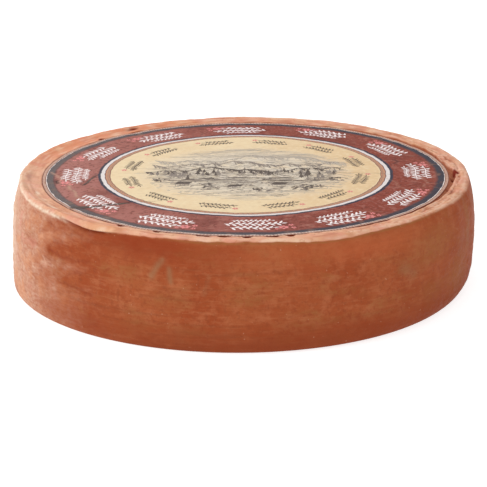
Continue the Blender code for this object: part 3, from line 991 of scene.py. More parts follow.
def draw_garlands(white, pink):
    """Leafy blocks round the dark ring, each with a pink blossom at its outer corner."""
    draw = random.Random(21)
    for block_turn, away in GARLANDS:
        middle = radians(block_turn)
        leafy_row(white, draw, middle, away, 6.6, -17.5, 12.0, 5.2, 2.0, 2.3, 0.8)
        leafy_row(white, draw, middle, away, -1.4, -22.5, 19.0, 5.4, 2.0, 2.3, 0.8)
        leafy_row(white, draw, middle, away, -8.4, -17.5, 13.0, 3.4, 1.4, 1.8, 0.6)
        x, y = around(middle, away, 18.6, 7.6)
        blossom(pink, x, y, 4.3, 6, middle)
        for along, out, reach in ((24.6, 3.6, 2.4), (25.0, 9.6, 2.2), (13.6, 10.0, 1.8)):
            x, y = around(middle, away, along, out)
            blossom(pink, x, y, reach, 5, middle)


SPRIGS = 12
SPRIGS_OUT = 91.5
ROPE_STRANDS = 190


def draw_sprigs(dark, pink):
    """Small sprigs on the cream, between the picture and its border."""
    draw = random.Random(22)
    away = SPRIGS_OUT
    for sprig in range(SPRIGS):
        middle = radians(17.0 + 30.0 * sprig + draw.uniform(-1.5, 1.5))
        leafy_row(dark, draw, middle, away, 3.0, -12.5, 8.0, 3.6, 1.15, 1.6, 0.50)
        leafy_row(dark, draw, middle, away, -2.9, -16.0, 12.0, 3.6, 1.15, 1.6, 0.50)
        x, y = around(middle, away, 13.2, 4.2)
        blossom(pink, x, y, 2.6, 5, middle)


def draw_border(ink):
    """The rope between the border's two thin lines."""
    away = (BAND_EDGES["rope"] + BAND_EDGES["outer_line"]) / 2
    for strand in range(ROPE_STRANDS):
        middle = strand * tau / ROPE_STRANDS
        x, y = around(middle, away, -1.2, -0.9)
        ink.leaf(x, y, middle + radians(52), 2.6, 0.85)


# Dark strokes of painted shade along the tears and folds across the ring at the left: points, width, how
# thick the ends are
TEAR_SHADE_STROKES = (
    (((-129.0, -88.6), (-118.0, -86.8), (-109.0, -86.4), (-100.0, -82.4)), 3.2, 0.5),
    (((-101.0, -82.8), (-95.0, -81.2), (-90.0, -80.0), (-85.5, -79.4)), 2.0, 0.3),
    (((-125.0, -33.0), (-121.6, -24.0), (-119.4, -15.0), (-117.2, -7.0)), 1.3, 0.3),
)


def draw_tear_shade(dark):
    """The painted shade in the tears and folds lies over the print."""
    for points, width, taper in TEAR_SHADE_STROKES:
        dark.stroke(points, width, taper)


PICTURE_MIDDLE = (1.0, 3.0)
PICTURE_REACH = (88.0, 76.0)
PICTURE_SHIFT = (0.0, -5.0)

# Where the picture's woods are, how many trees each has and how tall, and where its huts and bushes are
WOODS = (
    (-66, 1, 5, 17.0), (-52, -5, 7, 21.0), (-36, 3, 7, 15.0), (-21, -3, 7, 18.0), (-4, 4, 6, 14.0),
    (12, -1, 7, 17.0), (29, 4, 6, 14.0), (45, -4, 8, 22.0), (62, 1, 6, 18.0), (-44, -14, 3, 15.0),
    (54, -15, 4, 17.0),
)
HUTS = ((-48.0, -27.0, 6.5), (-8.0, -34.0, 6.0), (26.0, -29.0, 6.5))
BUSHES = ((-68, -15, 5.0), (-29, -33, 5.0), (10, -42, 5.0), (44, -37, 6.5), (53, -33, 5.0), (70, -15, 5.0))


def in_picture(x, y):
    """How far a place is from the middle of the picture, 1 at its edge."""
    return hypot((x - PICTURE_MIDDLE[0]) / PICTURE_REACH[0], (y - PICTURE_MIDDLE[1]) / PICTURE_REACH[1])


def far_ridge(x):
    return 43.0 + 8.0 * sin(x / 19.0 + 0.6) + 3.6 * sin(x / 7.3 + 1.0) + 1.2 * sin(x / 2.7)


def middle_ridge(x):
    return 29.0 + 4.5 * sin(x / 15.0 + 2.2) + 2.6 * sin(x / 6.4 + 2.0) + 1.0 * sin(x / 2.4)


def near_ridge(x):
    return 12.0 + 5.0 * sin(x / 14.0 + 3.4) + 2.4 * sin(x / 5.6 + 0.3) + 0.9 * sin(x / 2.1 + 1.0)


def draw_ridge(ink, draw, ridge, width, hatch_length, hatch_width, pitch, edge=0.93):
    """A mountain ridge from side to side, with slanting hatching under its falling slopes."""
    line = []
    for step in range(-41, 42):
        x = step * 2.0
        y = ridge(x)
        if in_picture(x, y) < edge:
            line.append((x, y + draw.uniform(-0.3, 0.3)))
    ink.stroke(line, width)
    x = -82.0
    while x < 82.0:
        x += pitch * draw.uniform(0.5, 1.5)
        y = ridge(x) - 0.4
        falling = ridge(x + 1.0) < ridge(x)
        if in_picture(x, y) > edge or draw.random() > (0.92 if falling else 0.35):
            continue
        long = hatch_length * draw.uniform(0.35, 1.0) * (1.0 if falling else 0.5)
        slope = draw.uniform(-1.25, -0.95) if falling else draw.uniform(-2.1, -1.9)
        bend = draw.uniform(-0.25, 0.25)
        points = [
            (x + share * long * cos(slope + bend * share), y + share * long * sin(slope + bend * share))
            for share in (0.0, 0.35, 0.7, 1.0)
        ]
        ink.stroke(points, hatch_width * draw.uniform(0.7, 1.3))


def draw_fir(ink, x, y, high, draw):
    """A fir tree: ragged layers of branches on a trunk."""
    wide = high * draw.uniform(0.34, 0.46)
    layers = 4
    for layer in range(layers):
        low = y + high * layer * 0.21
        half = wide / 2 * (1.0 - 0.2 * layer) * draw.uniform(0.85, 1.15)
        hem = low - 0.10 * high
        ink.patch(((x - half, hem), (x, low + 0.05 * high), (x + half, hem), (x, low + 0.40 * high)))
    ink.stroke(((x, y - high * 0.22), (x, y - high * 0.1), (x, y + high * 0.1)), 0.7, taper=0.9)


def draw_level_strokes(ink, draw, count, low, high, longest, width, edge=0.95, wave=0.35):
    """Level pen strokes, as of water, meadow or cloud, kept inside the picture's oval."""
    made = 0
    while made < count:
        x, y = draw.uniform(-82, 84), draw.uniform(low, high)
        long = draw.uniform(0.25, 1.0) * longest
        if max(in_picture(x - long / 2, y), in_picture(x + long / 2, y)) > edge:
            continue
        phase = draw.uniform(0, tau)
        points = [
            (x + long * (share - 0.5), y + wave * sin(phase + 5.0 * share) + draw.uniform(-0.1, 0.1))
            for share in (0.0, 0.25, 0.5, 0.75, 1.0)
        ]
        ink.stroke(points, width * draw.uniform(0.6, 1.3))
        made += 1


def draw_slope_strokes(ink, draw, count, low, high, edge):
    """Short slanting strokes that model the ground and fill the woods' shade."""
    made = 0
    while made < count:
        x, y = draw.uniform(-80, 80), draw.uniform(low, high)
        if in_picture(x, y) > edge * draw.uniform(0.75, 1.0):
            continue
        slope = draw.choice((-0.5, -0.35, 0.4)) + draw.uniform(-0.15, 0.15)
        long = draw.uniform(3.0, 8.0)
        points = [(x + share * long * cos(slope), y + share * long * sin(slope)) for share in (0.0, 0.5, 1.0)]
        ink.stroke(points, draw.uniform(0.35, 0.7))
        made += 1


def draw_hut(grey, dark, x, y, size):
    """A small barn with a dark gabled roof."""
    roof = ((-1.0, 0.0), (0.7, 0.0), (1.1, 0.8), (-0.6, 0.9))
    dark.patch([(x + size * right, y + size * up) for right, up in roof])
    for along in (-0.85, -0.3, 0.25, 0.65):
        grey.stroke([(x + size * along, y + size * up) for up in (-0.8, -0.3, 0.0)], 0.5)
    foot = ((-0.9, -0.8), (0.0, -0.85), (0.75, -0.8))
    grey.stroke([(x + size * right, y + size * up) for right, up in foot], 0.6)


def draw_bush(ink, x, y, size, draw):
    """A round bush or a tree's crown, scribbled."""
    for _ in range(9):
        turn = draw.uniform(0, tau)
        reach = size * sqrt(draw.random())
        leaf_x, leaf_y = x + reach * cos(turn), y + 0.8 * reach * sin(turn)
        ink.leaf(leaf_x, leaf_y, draw.uniform(0, tau), size * 0.7, size * 0.34)


def draw_landscape(faint, grey, dark):
    """The picture in the middle: an engraving of ridges, fir woods, a lake and meadows, made up here."""
    draw = random.Random(77)
    for ink in (faint, grey, dark):
        ink.origin = PICTURE_SHIFT
    draw_level_strokes(faint, draw, 110, 46.0, 77.0, 34.0, 0.60, wave=0.9)
    draw_level_strokes(faint, draw, 170, -70.0, 42.0, 30.0, 0.60, edge=1.0)
    draw_slope_strokes(faint, draw, 420, -70.0, 60.0, 1.0)
    draw_ridge(faint, draw, far_ridge, 1.2, 15.0, 0.9, 0.95, edge=0.98)
    draw_ridge(grey, draw, far_ridge, 0.8, 9.0, 0.6, 2.60, edge=0.94)
    draw_ridge(grey, draw, middle_ridge, 1.3, 12.0, 0.8, 0.95, edge=0.92)
    draw_ridge(dark, draw, near_ridge, 1.2, 9.0, 0.8, 0.95, edge=0.90)
    draw_slope_strokes(grey, draw, 420, -30.0, 34.0, 0.90)
    for clump_x, clump_y, trees, tallest in WOODS:
        for _ in range(trees):
            x, y = clump_x + draw.gauss(0, 4.5), clump_y + draw.gauss(0, 3.0)
            if in_picture(x, y) < 0.90:
                ink = dark if draw.random() < 0.35 else grey
                draw_fir(ink, x, y, tallest * draw.uniform(0.35, 0.80), draw)
    draw_level_strokes(dark, draw, 40, -20.0, -10.0, 22.0, 0.70, edge=0.84)
    draw_level_strokes(grey, draw, 130, -26.0, 4.0, 24.0, 0.70, edge=0.90)
    draw_level_strokes(grey, draw, 80, -64.0, -24.0, 18.0, 0.55, edge=0.92)
    draw_level_strokes(dark, draw, 22, -48.0, -24.0, 14.0, 0.80, edge=0.88)
    for x, y, size in HUTS:
        draw_hut(grey, dark, x, y, size)
    for x, y, size in BUSHES:
        draw_bush(dark, x, y, size, draw)
        draw_bush(grey, x + 2.5, y - 2.0, size, draw)
    for _ in range(170):
        x, y = draw.uniform(-76, 76), draw.uniform(-56, -20)
        if in_picture(x, y) > 0.95:
            continue
        ink = grey if in_picture(x, y) < 0.7 else faint
        for lean in (-0.5, 0.0, 0.5):
            ink.leaf(x, y, pi / 2 + lean, draw.uniform(1.6, 3.4), 0.55)


# Materials


class Nodes:
    """Adds shader nodes to a material and joins them."""

    def __init__(self, name):
        self.material = bpy.data.materials.new(name)
        self.material.use_nodes = True
        self.tree = self.material.node_tree
        self.shader = self.tree.nodes["Principled BSDF"]
        self.places = self.add("ShaderNodeTexCoord").outputs["Object"]

    def put(self, socket, value):
        if isinstance(value, bpy.types.NodeSocket):
            self.tree.links.new(value, socket)
        else:
            socket.default_value = value

    def add(self, kind, **settings):
        node = self.tree.nodes.new(kind)
        for key, value in settings.items():
            setattr(node, key, value)
        return node

    def mark(self, name):
        return self.add("ShaderNodeAttribute", attribute_name=name).outputs["Fac"]

    def moved(self, operation, by):
        """The piece's places after one operation with a vector."""
        node = self.add("ShaderNodeVectorMath", operation=operation)
        self.put(node.inputs[0], self.places)
        node.inputs[1].default_value = by
        return node.outputs[0]

    def level_parts(self, places):
        node = self.add("ShaderNodeSeparateXYZ")
        self.put(node.inputs[0], places)
        return node.outputs[0], node.outputs[1]

    def noise(self, scale, detail=3.0, rough=0.55, flat=1.0):
        """Noise whose lumps are so many in a metre, and that many times flatter than they are wide."""
        node = self.add("ShaderNodeTexNoise")
        places = self.places if flat == 1.0 else self.moved("MULTIPLY", (1.0, 1.0, flat))
        self.put(node.inputs["Vector"], places)
        for name, value in (("Scale", scale), ("Detail", detail), ("Roughness", rough)):
            node.inputs[name].default_value = value
        return node.outputs[0]

    def maths(self, operation, first, second=0.0, clamp=False):
        node = self.add("ShaderNodeMath", operation=operation, use_clamp=clamp)
        self.put(node.inputs[0], first)
        self.put(node.inputs[1], second)
        return node.outputs[0]

    def plus(self, first, second, clamp=False):
        return self.maths("ADD", first, second, clamp)

    def times(self, first, second, clamp=False):
        return self.maths("MULTIPLY", first, second, clamp)

    def between(self, value, low, high, to_low=0.0, to_high=1.0):
        node = self.add("ShaderNodeMapRange", interpolation_type="SMOOTHSTEP")
        for socket, number in zip(node.inputs, (value, low, high, to_low, to_high)):
            self.put(socket, number)
        return node.outputs[0]

    def mix(self, share, first, second):
        node = self.add("ShaderNodeMix", data_type="RGBA")
        for socket, value in zip((node.inputs[0], node.inputs[6], node.inputs[7]), (share, first, second)):
            self.put(socket, value if isinstance(value, (float, bpy.types.NodeSocket)) else (*value, 1.0))
        return node.outputs[2]

    def layers(self, colour, rows):
        """Lays colours over one another. Each row: colour, value, bounds it grows between, most, masks."""
        for other, value, low, high, most, *masks in rows:
            share = self.between(value, low, high, 0.0, most)
            for mask in masks:
                share = self.times(share, mask)
            colour = self.mix(share, colour, other)
        return colour

    def marked(self, colour, rows):
        """Lays colours where marks are. Each row: mark, colour, value, its bounds, least and most share."""
        for name, other, value, low, high, least, most in rows:
            share = self.times(self.mark(name), self.between(value, low, high, least, most))
            colour = self.mix(share, colour, other)
        return colour

    def bump(self, height, strength, distance):
        node = self.add("ShaderNodeBump")
        self.put(node.inputs["Height"], height)
        node.inputs["Strength"].default_value = strength
        node.inputs["Distance"].default_value = distance
        self.put(self.shader.inputs["Normal"], node.outputs[0])

    def finish(self, colour, roughness, specular=0.5):
        self.put(self.shader.inputs["Base Color"], colour)
        self.put(self.shader.inputs["Roughness"], roughness)
        self.shader.inputs["Specular IOR Level"].default_value = specular
        return self.material


SIDE_BROWN = (0.335, 0.084, 0.029)
SIDE_RED = (0.290, 0.058, 0.018)
SIDE_BRIGHT = (0.430, 0.100, 0.036)
SIDE_TAN = (0.405, 0.130, 0.056)
SIDE_DARK = (0.200, 0.050, 0.019)
# Olive, also the colour of a line of painted shade under the lip
SIDE_OLIVE_AND_LIP_SHADE = (0.265, 0.115, 0.038)
SIDE_MAUVE = (0.330, 0.125, 0.092)
# Red patches, darker just under the rim as painted shade
RED_AND_UNDER_RIM_SHADE = (0.250, 0.040, 0.012)
# Dark of the painted shade in the fold under the lip and in the creases
CREASE_SHADE_DARK = (0.225, 0.038, 0.014)
BASE_RED = (0.225, 0.043, 0.014)
SMEAR_GREY = (0.270, 0.150, 0.075)
BLOOM_PALE = (0.590, 0.340, 0.235)
BLOOM_TAN = (0.510, 0.235, 0.142)
BLOOM_DEEP = (0.400, 0.135, 0.068)
BLOOM_ORANGE = (0.620, 0.270, 0.140)
BLOOM_PINK = (0.600, 0.245, 0.175)
BLOOM_LIGHT = (0.680, 0.440, 0.330)
CREST_PALE = (0.710, 0.385, 0.245)
CREST_PINK = (0.640, 0.280, 0.185)
CREST_TAN = (0.630, 0.305, 0.150)
CREST_WARM = (0.660, 0.240, 0.125)
CREST_BLUSH = (0.690, 0.310, 0.230)
CREST_CREAM = (0.760, 0.500, 0.320)
# Colour of the lip's veins, also used as painted shade in the rim's creases
CREST_VEIN_AND_CREASE_SHADE = (0.430, 0.150, 0.085)
# White patches, and the white of the painted highlights on the lip
CREST_WHITE_AND_HIGHLIGHT = (0.800, 0.650, 0.500)
GROOVE_RED = (0.410, 0.145, 0.075)
# Dark red of the painted shade in the slits, pits and gap at the label's edge
RECESS_SHADE_RED = (0.190, 0.018, 0.007)
SPECK_PALE = (0.560, 0.300, 0.190)


def rind_material():
    """Washed rind: orange-brown with level streaks, a pale lip, and a grainy bloom at the left end."""
    nodes = Nodes("rind")
    wide = nodes.noise(24.0)
    blotch = nodes.noise(85.0, 4.0, 0.6)
    blush = nodes.noise(52.0, 3.0, 0.6)
    fine = nodes.noise(340.0, 3.0, 0.6)
    grain = nodes.noise(820.0, 2.0, 0.6, flat=1.6)
    streak = nodes.noise(36.0, 5.0, 0.66, flat=13.0)
    long_streak = nodes.noise(11.0, 3.0, 0.6, flat=16.0)
    dappled = nodes.noise(150.0, 4.0, 0.65, flat=2.0)
    murky = nodes.noise(30.0, 4.0, flat=2.6)
    flat_grain = nodes.noise(240.0, 3.0, 0.6, flat=2.4)
    wrinkle = nodes.noise(95.0, 2.0, 0.5, flat=2.8)
    crinkle = nodes.noise(170.0, 2.0, flat=2.4)
    speck = nodes.noise(430.0, 1.0)
    streaky = nodes.between(nodes.level_parts(nodes.places)[0], -0.02, 0.10, 1.0, 0.62)

    side = nodes.layers(SIDE_BROWN, (
        (SIDE_RED, wide, 0.38, 0.62, 1.0),
        (SIDE_TAN, blotch, 0.47, 0.70, 0.50),
        (SIDE_TAN, streak, 0.50, 0.68, 0.42, streaky),
        (SIDE_RED, streak, 0.48, 0.34, 0.42, streaky),
        (SIDE_DARK, long_streak, 0.48, 0.32, 0.38, streaky),
        (SIDE_DARK, fine, 0.50, 0.30, 0.42),
        (SIDE_TAN, dappled, 0.52, 0.64, 0.30),
        (SIDE_RED, dappled, 0.48, 0.36, 0.34),
        (SIDE_OLIVE_AND_LIP_SHADE, murky, 0.46, 0.68, 0.38, nodes.between(fine, 0.3, 0.6)),
    ))
    bloom = nodes.layers(BLOOM_TAN, (
        (BLOOM_PALE, flat_grain, 0.26, 0.74, 1.0),
        (SIDE_TAN, blotch, 0.52, 0.30, 0.35),
        (BLOOM_DEEP, wrinkle, 0.48, 0.36, 0.38),
        (BLOOM_LIGHT, wrinkle, 0.54, 0.66, 0.16),
        (BLOOM_DEEP, crinkle, 0.47, 0.36, 0.42),
        (BLOOM_PINK, blush, 0.52, 0.64, 0.55),
        (BLOOM_ORANGE, blush, 0.48, 0.36, 0.60),
    ))
    in_bloom = nodes.mark("bloom")
    bloom_share = nodes.plus(in_bloom, nodes.between(flat_grain, 0.3, 0.7, -0.10, 0.10), clamp=True)
    colour = nodes.mix(nodes.times(bloom_share, in_bloom, clamp=True), side, bloom)
    colour = nodes.marked(colour, (
        # Red patches, partly painted shade just under the rim
        ("red", RED_AND_UNDER_RIM_SHADE, blotch, 0.28, 0.66, 0.75, 1.0),
        ("bright", SIDE_BRIGHT, blotch, 0.28, 0.66, 0.75, 1.0),
        ("low", BASE_RED, blotch, 0.28, 0.66, 0.55, 0.85),
    ))
    crest = nodes.layers(CREST_PALE, (
        (CREST_PINK, blotch, 0.38, 0.64, 1.0),
        (CREST_TAN, wide, 0.46, 0.66, 0.60),
        (SIDE_TAN, fine, 0.46, 0.30, 0.55),
        (CREST_BLUSH, blush, 0.52, 0.64, 0.45),
        (CREST_CREAM, blush, 0.47, 0.36, 0.35),
    ))
    # Veins on the lip, and painted shade in the creases on the rim's top
    crest = nodes.mix(nodes.times(nodes.mark("vein_and_crease_shade"), 0.45), crest, CREST_VEIN_AND_CREASE_SHADE)
    crest = nodes.mix(nodes.times(nodes.mark("warm"), 0.75), crest, CREST_WARM)
    colour = nodes.mix(nodes.mark("crest"), colour, crest)
    colour = nodes.marked(colour, (
        ("mauve", SIDE_MAUVE, blotch, 0.28, 0.66, 0.75, 1.0),
        # Olive patches, and a line of painted shade under the lip
        ("olive", SIDE_OLIVE_AND_LIP_SHADE, fine, 0.3, 0.6, 0.5, 1.0),
        ("smear", SMEAR_GREY, fine, 0.3, 0.6, 0.7, 1.0),
        # White patches, and painted highlights on the lip
        ("white", CREST_WHITE_AND_HIGHLIGHT, fine, 0.28, 0.62, 0.62, 1.0),
        ("groove", GROOVE_RED, fine, 0.25, 0.6, 0.55, 0.95),
    ))
    # Dark red painted shade in the slits, pits and gap at the label's edge
    colour = nodes.mix(nodes.mark("painted_recess_shade"), colour, RECESS_SHADE_RED)
    # Painted shade in the fold under the lip and in the creases
    colour = nodes.mix(nodes.mark("painted_crease_shade"), colour, CREASE_SHADE_DARK)
    colour = nodes.layers(colour, ((SPECK_PALE, speck, 0.745, 0.80, 0.35),))

    # The relief is fine grain outside the bloom, and wrinkles in it
    height = nodes.plus(nodes.times(grain, 0.6), nodes.times(fine, 0.9))
    height = nodes.times(height, nodes.maths("SUBTRACT", 1.0, nodes.times(in_bloom, 0.8)))
    height = nodes.plus(height, nodes.times(streak, 0.6))
    wrinkled = nodes.plus(nodes.times(wrinkle, 3.4), nodes.times(crinkle, 2.2))
    nodes.bump(nodes.plus(height, nodes.times(in_bloom, wrinkled)), 0.42, 0.0007)
    return nodes.finish(colour, nodes.between(fine, 0.3, 0.7, 0.52, 0.70), specular=0.05)


LACE_PALE = (0.660, 0.440, 0.345)
LACE_BROWN = (0.420, 0.190, 0.130)
LACE_RED = (0.200, 0.058, 0.040)
CREAM = (0.760, 0.595, 0.375)
CREAM_TAN = (0.690, 0.480, 0.270)
CREAM_LIGHT = (0.800, 0.690, 0.480)
CREAM_SPOT = (0.600, 0.450, 0.290)
CREAM_GREY = (0.650, 0.575, 0.480)
PAPER_WHITE = (0.700, 0.640, 0.620)
RING_RED = (0.235, 0.045, 0.025)
RING_PALE = (0.385, 0.152, 0.126)
RING_DARK = (0.120, 0.024, 0.016)
BLACK_SMUDGED = (0.080, 0.040, 0.046)
BLACK_RUBBED = (0.200, 0.090, 0.070)
# The black band greyed by painted sheen towards the left
BLACK_SHEEN = (0.150, 0.115, 0.105)
PAPER_STAIN = (0.420, 0.280, 0.180)
PAPER_FLECK = (0.250, 0.160, 0.120)
# Painted shade in the label's creases
PAPER_CREASE_SHADE = (0.060, 0.020, 0.018)
CREASE_PALE = (0.480, 0.280, 0.200)
BAND_COLOURS = {
    "cream": CREAM,
    "inner_line": (0.180, 0.070, 0.055),
    "rope": (0.500, 0.250, 0.150),
    "outer_line": (0.150, 0.060, 0.055),
    "white": PAPER_WHITE,
    "navy": (0.038, 0.034, 0.055),
    "red": RING_RED,
    "black": (0.046, 0.040, 0.054),
    "white_line": (0.740, 0.640, 0.590),
}


# Between which distances from the centre the ring, its smudged outer edge and the black band begin and end
RING_BEGINS = (0.1146, 0.1154)
RING_ENDS = (0.1506, 0.1490)
SMUDGE_BEGINS = (0.1476, 0.1500)
SMUDGE_ENDS = (0.1506, 0.1500)
BLACK_BEGINS = (0.1494, 0.1502)
BLACK_ENDS = (0.1546, 0.1542)


def from_centre(nodes):
    """How far right, back and out the paper's places are from the label's centre."""
    x, y = nodes.level_parts(nodes.moved("SUBTRACT", (CENTRE_X, CENTRE_Y, 0.0)))
    return x, y, nodes.maths("SQRT", nodes.plus(nodes.times(x, x), nodes.times(y, y)))


def paper_material():
    """Printed paper: rings of colour, a grey wash where the picture is, wear, creases with painted shade, and
    a painted sheen towards the left.
    """
    nodes = Nodes("printed_paper")
    x, y, away = from_centre(nodes)
    wide = nodes.noise(30.0)
    blotch = nodes.noise(110.0, 4.0, 0.6)
    mottled = nodes.noise(300.0)
    fine = nodes.noise(600.0, 3.0, 0.6)
    away = nodes.plus(away, nodes.between(blotch, 0.3, 0.7, -0.00035, 0.00035))

    ramp = nodes.add("ShaderNodeValToRGB")
    nodes.put(ramp.inputs[0], nodes.maths("DIVIDE", away, PAPER_EDGE * MM))
    stops = ramp.color_ramp
    stops.interpolation = "CONSTANT"
    stops.elements.remove(stops.elements[1])
    for number, (band, edge) in enumerate(BAND_EDGES.items()):
        stop = stops.elements[0] if number == 0 else stops.elements.new(edge / PAPER_EDGE)
        stop.color = (*BAND_COLOURS[band], 1.0)

    # The ring's ink and the black band's are worn and uneven, and paler towards the left and front as painted
    # sheen
    in_ring = nodes.times(nodes.between(away, *RING_BEGINS), nodes.between(away, *RING_ENDS))
    on_black = nodes.times(nodes.between(away, *BLACK_BEGINS), nodes.between(away, *BLACK_ENDS))
    # Painted sheen: how much paler the ring and the black band are made towards the left and front
    faded = nodes.plus(nodes.plus(nodes.times(x, -4.5), nodes.times(y, -1.3)), 0.22, clamp=True)
    faded = nodes.times(faded, nodes.between(wide, 0.35, 0.60, 0.75, 1.05))
    smudged = nodes.times(nodes.between(away, *SMUDGE_ENDS), nodes.between(fine, 0.3, 0.6, 0.45, 0.95))
    colour = nodes.layers(ramp.outputs[0], (
        (RING_PALE, blotch, 0.50, 0.66, 0.50, in_ring),
        (RING_PALE, nodes.noise(420.0), 0.52, 0.66, 0.45, in_ring),
    ))
    colour = nodes.mix(nodes.times(faded, in_ring), colour, RING_PALE)
    colour = nodes.layers(colour, (
        (RING_DARK, wide, 0.52, 0.30, 0.50, in_ring),
        (RING_DARK, nodes.noise(330.0), 0.47, 0.36, 0.60, in_ring),
        (BLACK_SMUDGED, away, *SMUDGE_BEGINS, 1.0, smudged),
        (BLACK_RUBBED, blotch, 0.52, 0.70, 0.60, on_black),
    ))
    sheen_on_black = nodes.times(nodes.times(faded, on_black), nodes.between(fine, 0.3, 0.6, 0.4, 0.9))
    colour = nodes.mix(sheen_on_black, colour, BLACK_SHEEN)

    # The cream is browner towards the right
    cream_ends = BAND_EDGES["inner_line"]
    in_cream = nodes.between(away, cream_ends * MM, (cream_ends - 1.0) * MM)
    tanned = nodes.plus(nodes.between(x, -0.02, 0.10, 0.0, 0.75), nodes.between(wide, 0.45, 0.70, 0.0, 0.35))
    colour = nodes.mix(nodes.times(nodes.maths("MINIMUM", tanned, 0.9), in_cream), colour, CREAM_TAN)

    # The picture's wash of grey, then spots and stains
    squares = []
    for place, middle, shift, reach in zip((x, y), PICTURE_MIDDLE, PICTURE_SHIFT, PICTURE_REACH):
        share = nodes.maths("DIVIDE", nodes.maths("SUBTRACT", place, MM * (middle + shift)), reach * MM)
        squares.append(nodes.times(share, share))
    oval = nodes.plus(nodes.plus(*squares), nodes.between(blotch, 0.3, 0.7, -0.16, 0.16))
    colour = nodes.layers(colour, (
        (CREAM_GREY, oval, 1.10, 0.25, 1.0, nodes.between(blotch, 0.34, 0.60, 0.55, 1.0)),
        (CREAM_LIGHT, mottled, 0.50, 0.66, 0.30, in_cream),
        (CREAM_SPOT, mottled, 0.46, 0.34, 0.22, in_cream),
        (PAPER_STAIN, blotch, 0.54, 0.74, 0.16),
        (PAPER_FLECK, fine, 0.56, 0.74, 0.10),
    ))
    # Painted shade in the label's dark creases
    colour = nodes.mix(nodes.mark("paper_crease_shade"), colour, PAPER_CREASE_SHADE)
    colour = nodes.mix(nodes.mark("pale_crease"), colour, CREASE_PALE)
    nodes.bump(nodes.plus(blotch, nodes.times(fine, 0.25)), 0.22, 0.0006)
    return nodes.finish(colour, nodes.between(blotch, 0.3, 0.7, 0.50, 0.64), specular=0.07)


def ink_material(name, colour, worn_colour, worn_share):
    """A printed ink, rubbed thin in places."""
    nodes = Nodes(name)
    patchy = nodes.noise(260.0, 4.0, 0.65)
    colour = nodes.layers(colour, ((worn_colour, patchy, 0.50, 0.72, worn_share),))
    return nodes.finish(colour, nodes.between(patchy, 0.3, 0.7, 0.50, 0.62), specular=0.07)


def lace_material():
    """Paper lace: pale in its middle, and reddish brown towards both edges."""
    nodes = Nodes("lace_paper")
    away = from_centre(nodes)[2]
    off_middle = nodes.maths("ABSOLUTE", nodes.maths("SUBTRACT", away, LACE_MIDDLE * MM))
    patchy = nodes.noise(260.0, 4.0, 0.65)
    colour = nodes.layers(LACE_PALE, (
        (LACE_BROWN, patchy, 0.46, 0.70, 0.6),
        (LACE_RED, off_middle, 0.0007, 0.0012, 1.0),
    ))
    return nodes.finish(colour, nodes.between(patchy, 0.3, 0.7, 0.55, 0.68), specular=0.10)


def floor_material():
    nodes = Nodes("floor")
    soft = nodes.noise(3.0, 2.0)
    colour = nodes.mix(soft, (0.45, 0.45, 0.45), (0.47, 0.47, 0.47))
    nodes.shader.inputs["Emission Color"].default_value = (1.0, 1.0, 1.0, 1.0)
    nodes.shader.inputs["Emission Strength"].default_value = 0.75
    return nodes.finish(colour, 0.9, specular=0.1)


# Stage, light and camera


# The soft square lights, which face the wheel: place, size and power
LIGHTS = {
    "overhead": ((-0.3, 0.2, 2.2), 2.2, 12.0),
    "key_left": ((-1.9, -0.7, 1.2), 1.2, 18.0),
    "window_back_left": ((-1.1, 2.2, 1.1), 1.6, 10.0),
    "fill_front": ((0.7, -2.4, 1.0), 1.6, 8.0),
}
LIGHTS_FACE = Vector((0.0, 0.0, 0.04))
WORLD_STRENGTH = 0.70
FLOOR_HALF = 40.0
FLOOR_DROP = 0.0002


def build_floor():
    corners = ((-1, -1), (1, -1), (1, 1), (-1, 1))
    points = [(x * FLOOR_HALF, y * FLOOR_HALF, 0.0) for x, y in corners]
    floor = new_piece("floor", points, [(0, 1, 2, 3)], floor_material(), smooth=False)
    floor.location.z = -FLOOR_DROP
    return floor


def light_scene():
    world = bpy.data.worlds.new("studio")
    world.use_nodes = True
    background = world.node_tree.nodes["Background"]
    background.inputs[0].default_value = (1.0, 1.0, 1.0, 1.0)
    background.inputs[1].default_value = WORLD_STRENGTH
    bpy.context.scene.world = world
    for name, (place, size, power) in LIGHTS.items():
        data = bpy.data.lights.new(name, "AREA")
        data.shape = "SQUARE"
        data.size = size
        data.energy = power
        light = bpy.data.objects.new(name, data)
        bpy.context.scene.collection.objects.link(light)
        light.location = place
        light.rotation_euler = (LIGHTS_FACE - light.location).to_track_quat("-Z", "Y").to_euler()
    bpy.context.scene.view_settings.view_transform = "Standard"


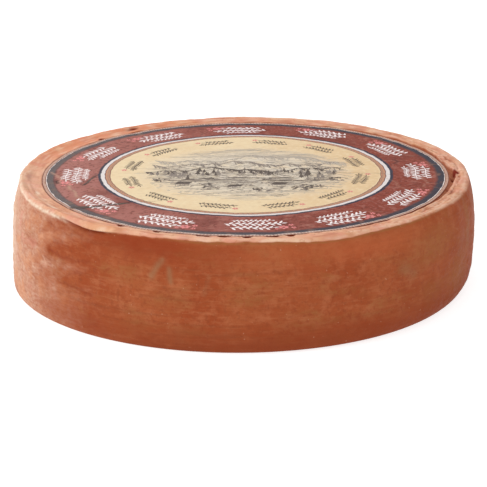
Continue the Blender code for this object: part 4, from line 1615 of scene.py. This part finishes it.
def add_camera():
    label = Vector((CENTRE_X, CENTRE_Y, PAPER_HEIGHT))
    place = label + CAMERA_DISTANCE * Vector((0.0, -cos(CAMERA_TILT), sin(CAMERA_TILT)))
    forward = (label + AIM_OFFSET - place).normalized()
    right = forward.cross(Vector((0.0, 0.0, 1.0))).normalized()
    up = right.cross(forward)
    rolled_right = cos(CAMERA_ROLL) * right + sin(CAMERA_ROLL) * up
    rolled_up = cos(CAMERA_ROLL) * up - sin(CAMERA_ROLL) * right
    data = bpy.data.cameras.new("camera")
    data.sensor_width = SENSOR
    data.lens = FOCAL_PIXELS * SENSOR / FRAME_PIXELS
    camera = bpy.data.objects.new("camera", data)
    bpy.context.scene.collection.objects.link(camera)
    turned = Matrix((rolled_right, rolled_up, -forward)).transposed().to_4x4()
    camera.matrix_world = Matrix.Translation(place) @ turned
    bpy.context.scene.camera = camera


# The inks: how far each stands off the paper, its colour, the colour it is rubbed to, and how much is rubbed
INKS = {
    "white": (0.00007, (0.860, 0.780, 0.770), (0.480, 0.300, 0.270), 0.60),
    "pink": (0.00007, (0.690, 0.235, 0.225), (0.420, 0.120, 0.100), 0.60),
    "dark": (0.00012, (0.095, 0.072, 0.060), (0.300, 0.240, 0.190), 0.55),
    "grey": (0.00007, (0.225, 0.185, 0.158), (0.430, 0.360, 0.285), 0.55),
    "faint": (0.00007, (0.440, 0.380, 0.315), (0.580, 0.480, 0.360), 0.60),
}


def build_print():
    """The printed shapes on the label, one piece for each ink."""
    inks = {name: Ink(lift) for name, (lift, *_) in INKS.items()}
    draw_garlands(inks["white"], inks["pink"])
    draw_sprigs(inks["dark"], inks["pink"])
    draw_border(inks["grey"])
    draw_tear_shade(inks["dark"])
    draw_landscape(inks["faint"], inks["grey"], inks["dark"])
    pieces = []
    for name, ink in inks.items():
        pieces.append(ink.build("print_" + name, ink_material("ink_" + name, *INKS[name][1:])))
    return pieces


def main():
    rind = build_rind(rind_material())
    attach(rind, "root")
    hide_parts("cheese_wheel")

    paper = build_paper(paper_material())
    lace = build_lace(lace_material())
    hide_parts("paper_label")
    for piece in (paper, lace, *build_print()):
        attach(piece, "root")

    build_floor()
    light_scene()
    add_camera()


main()
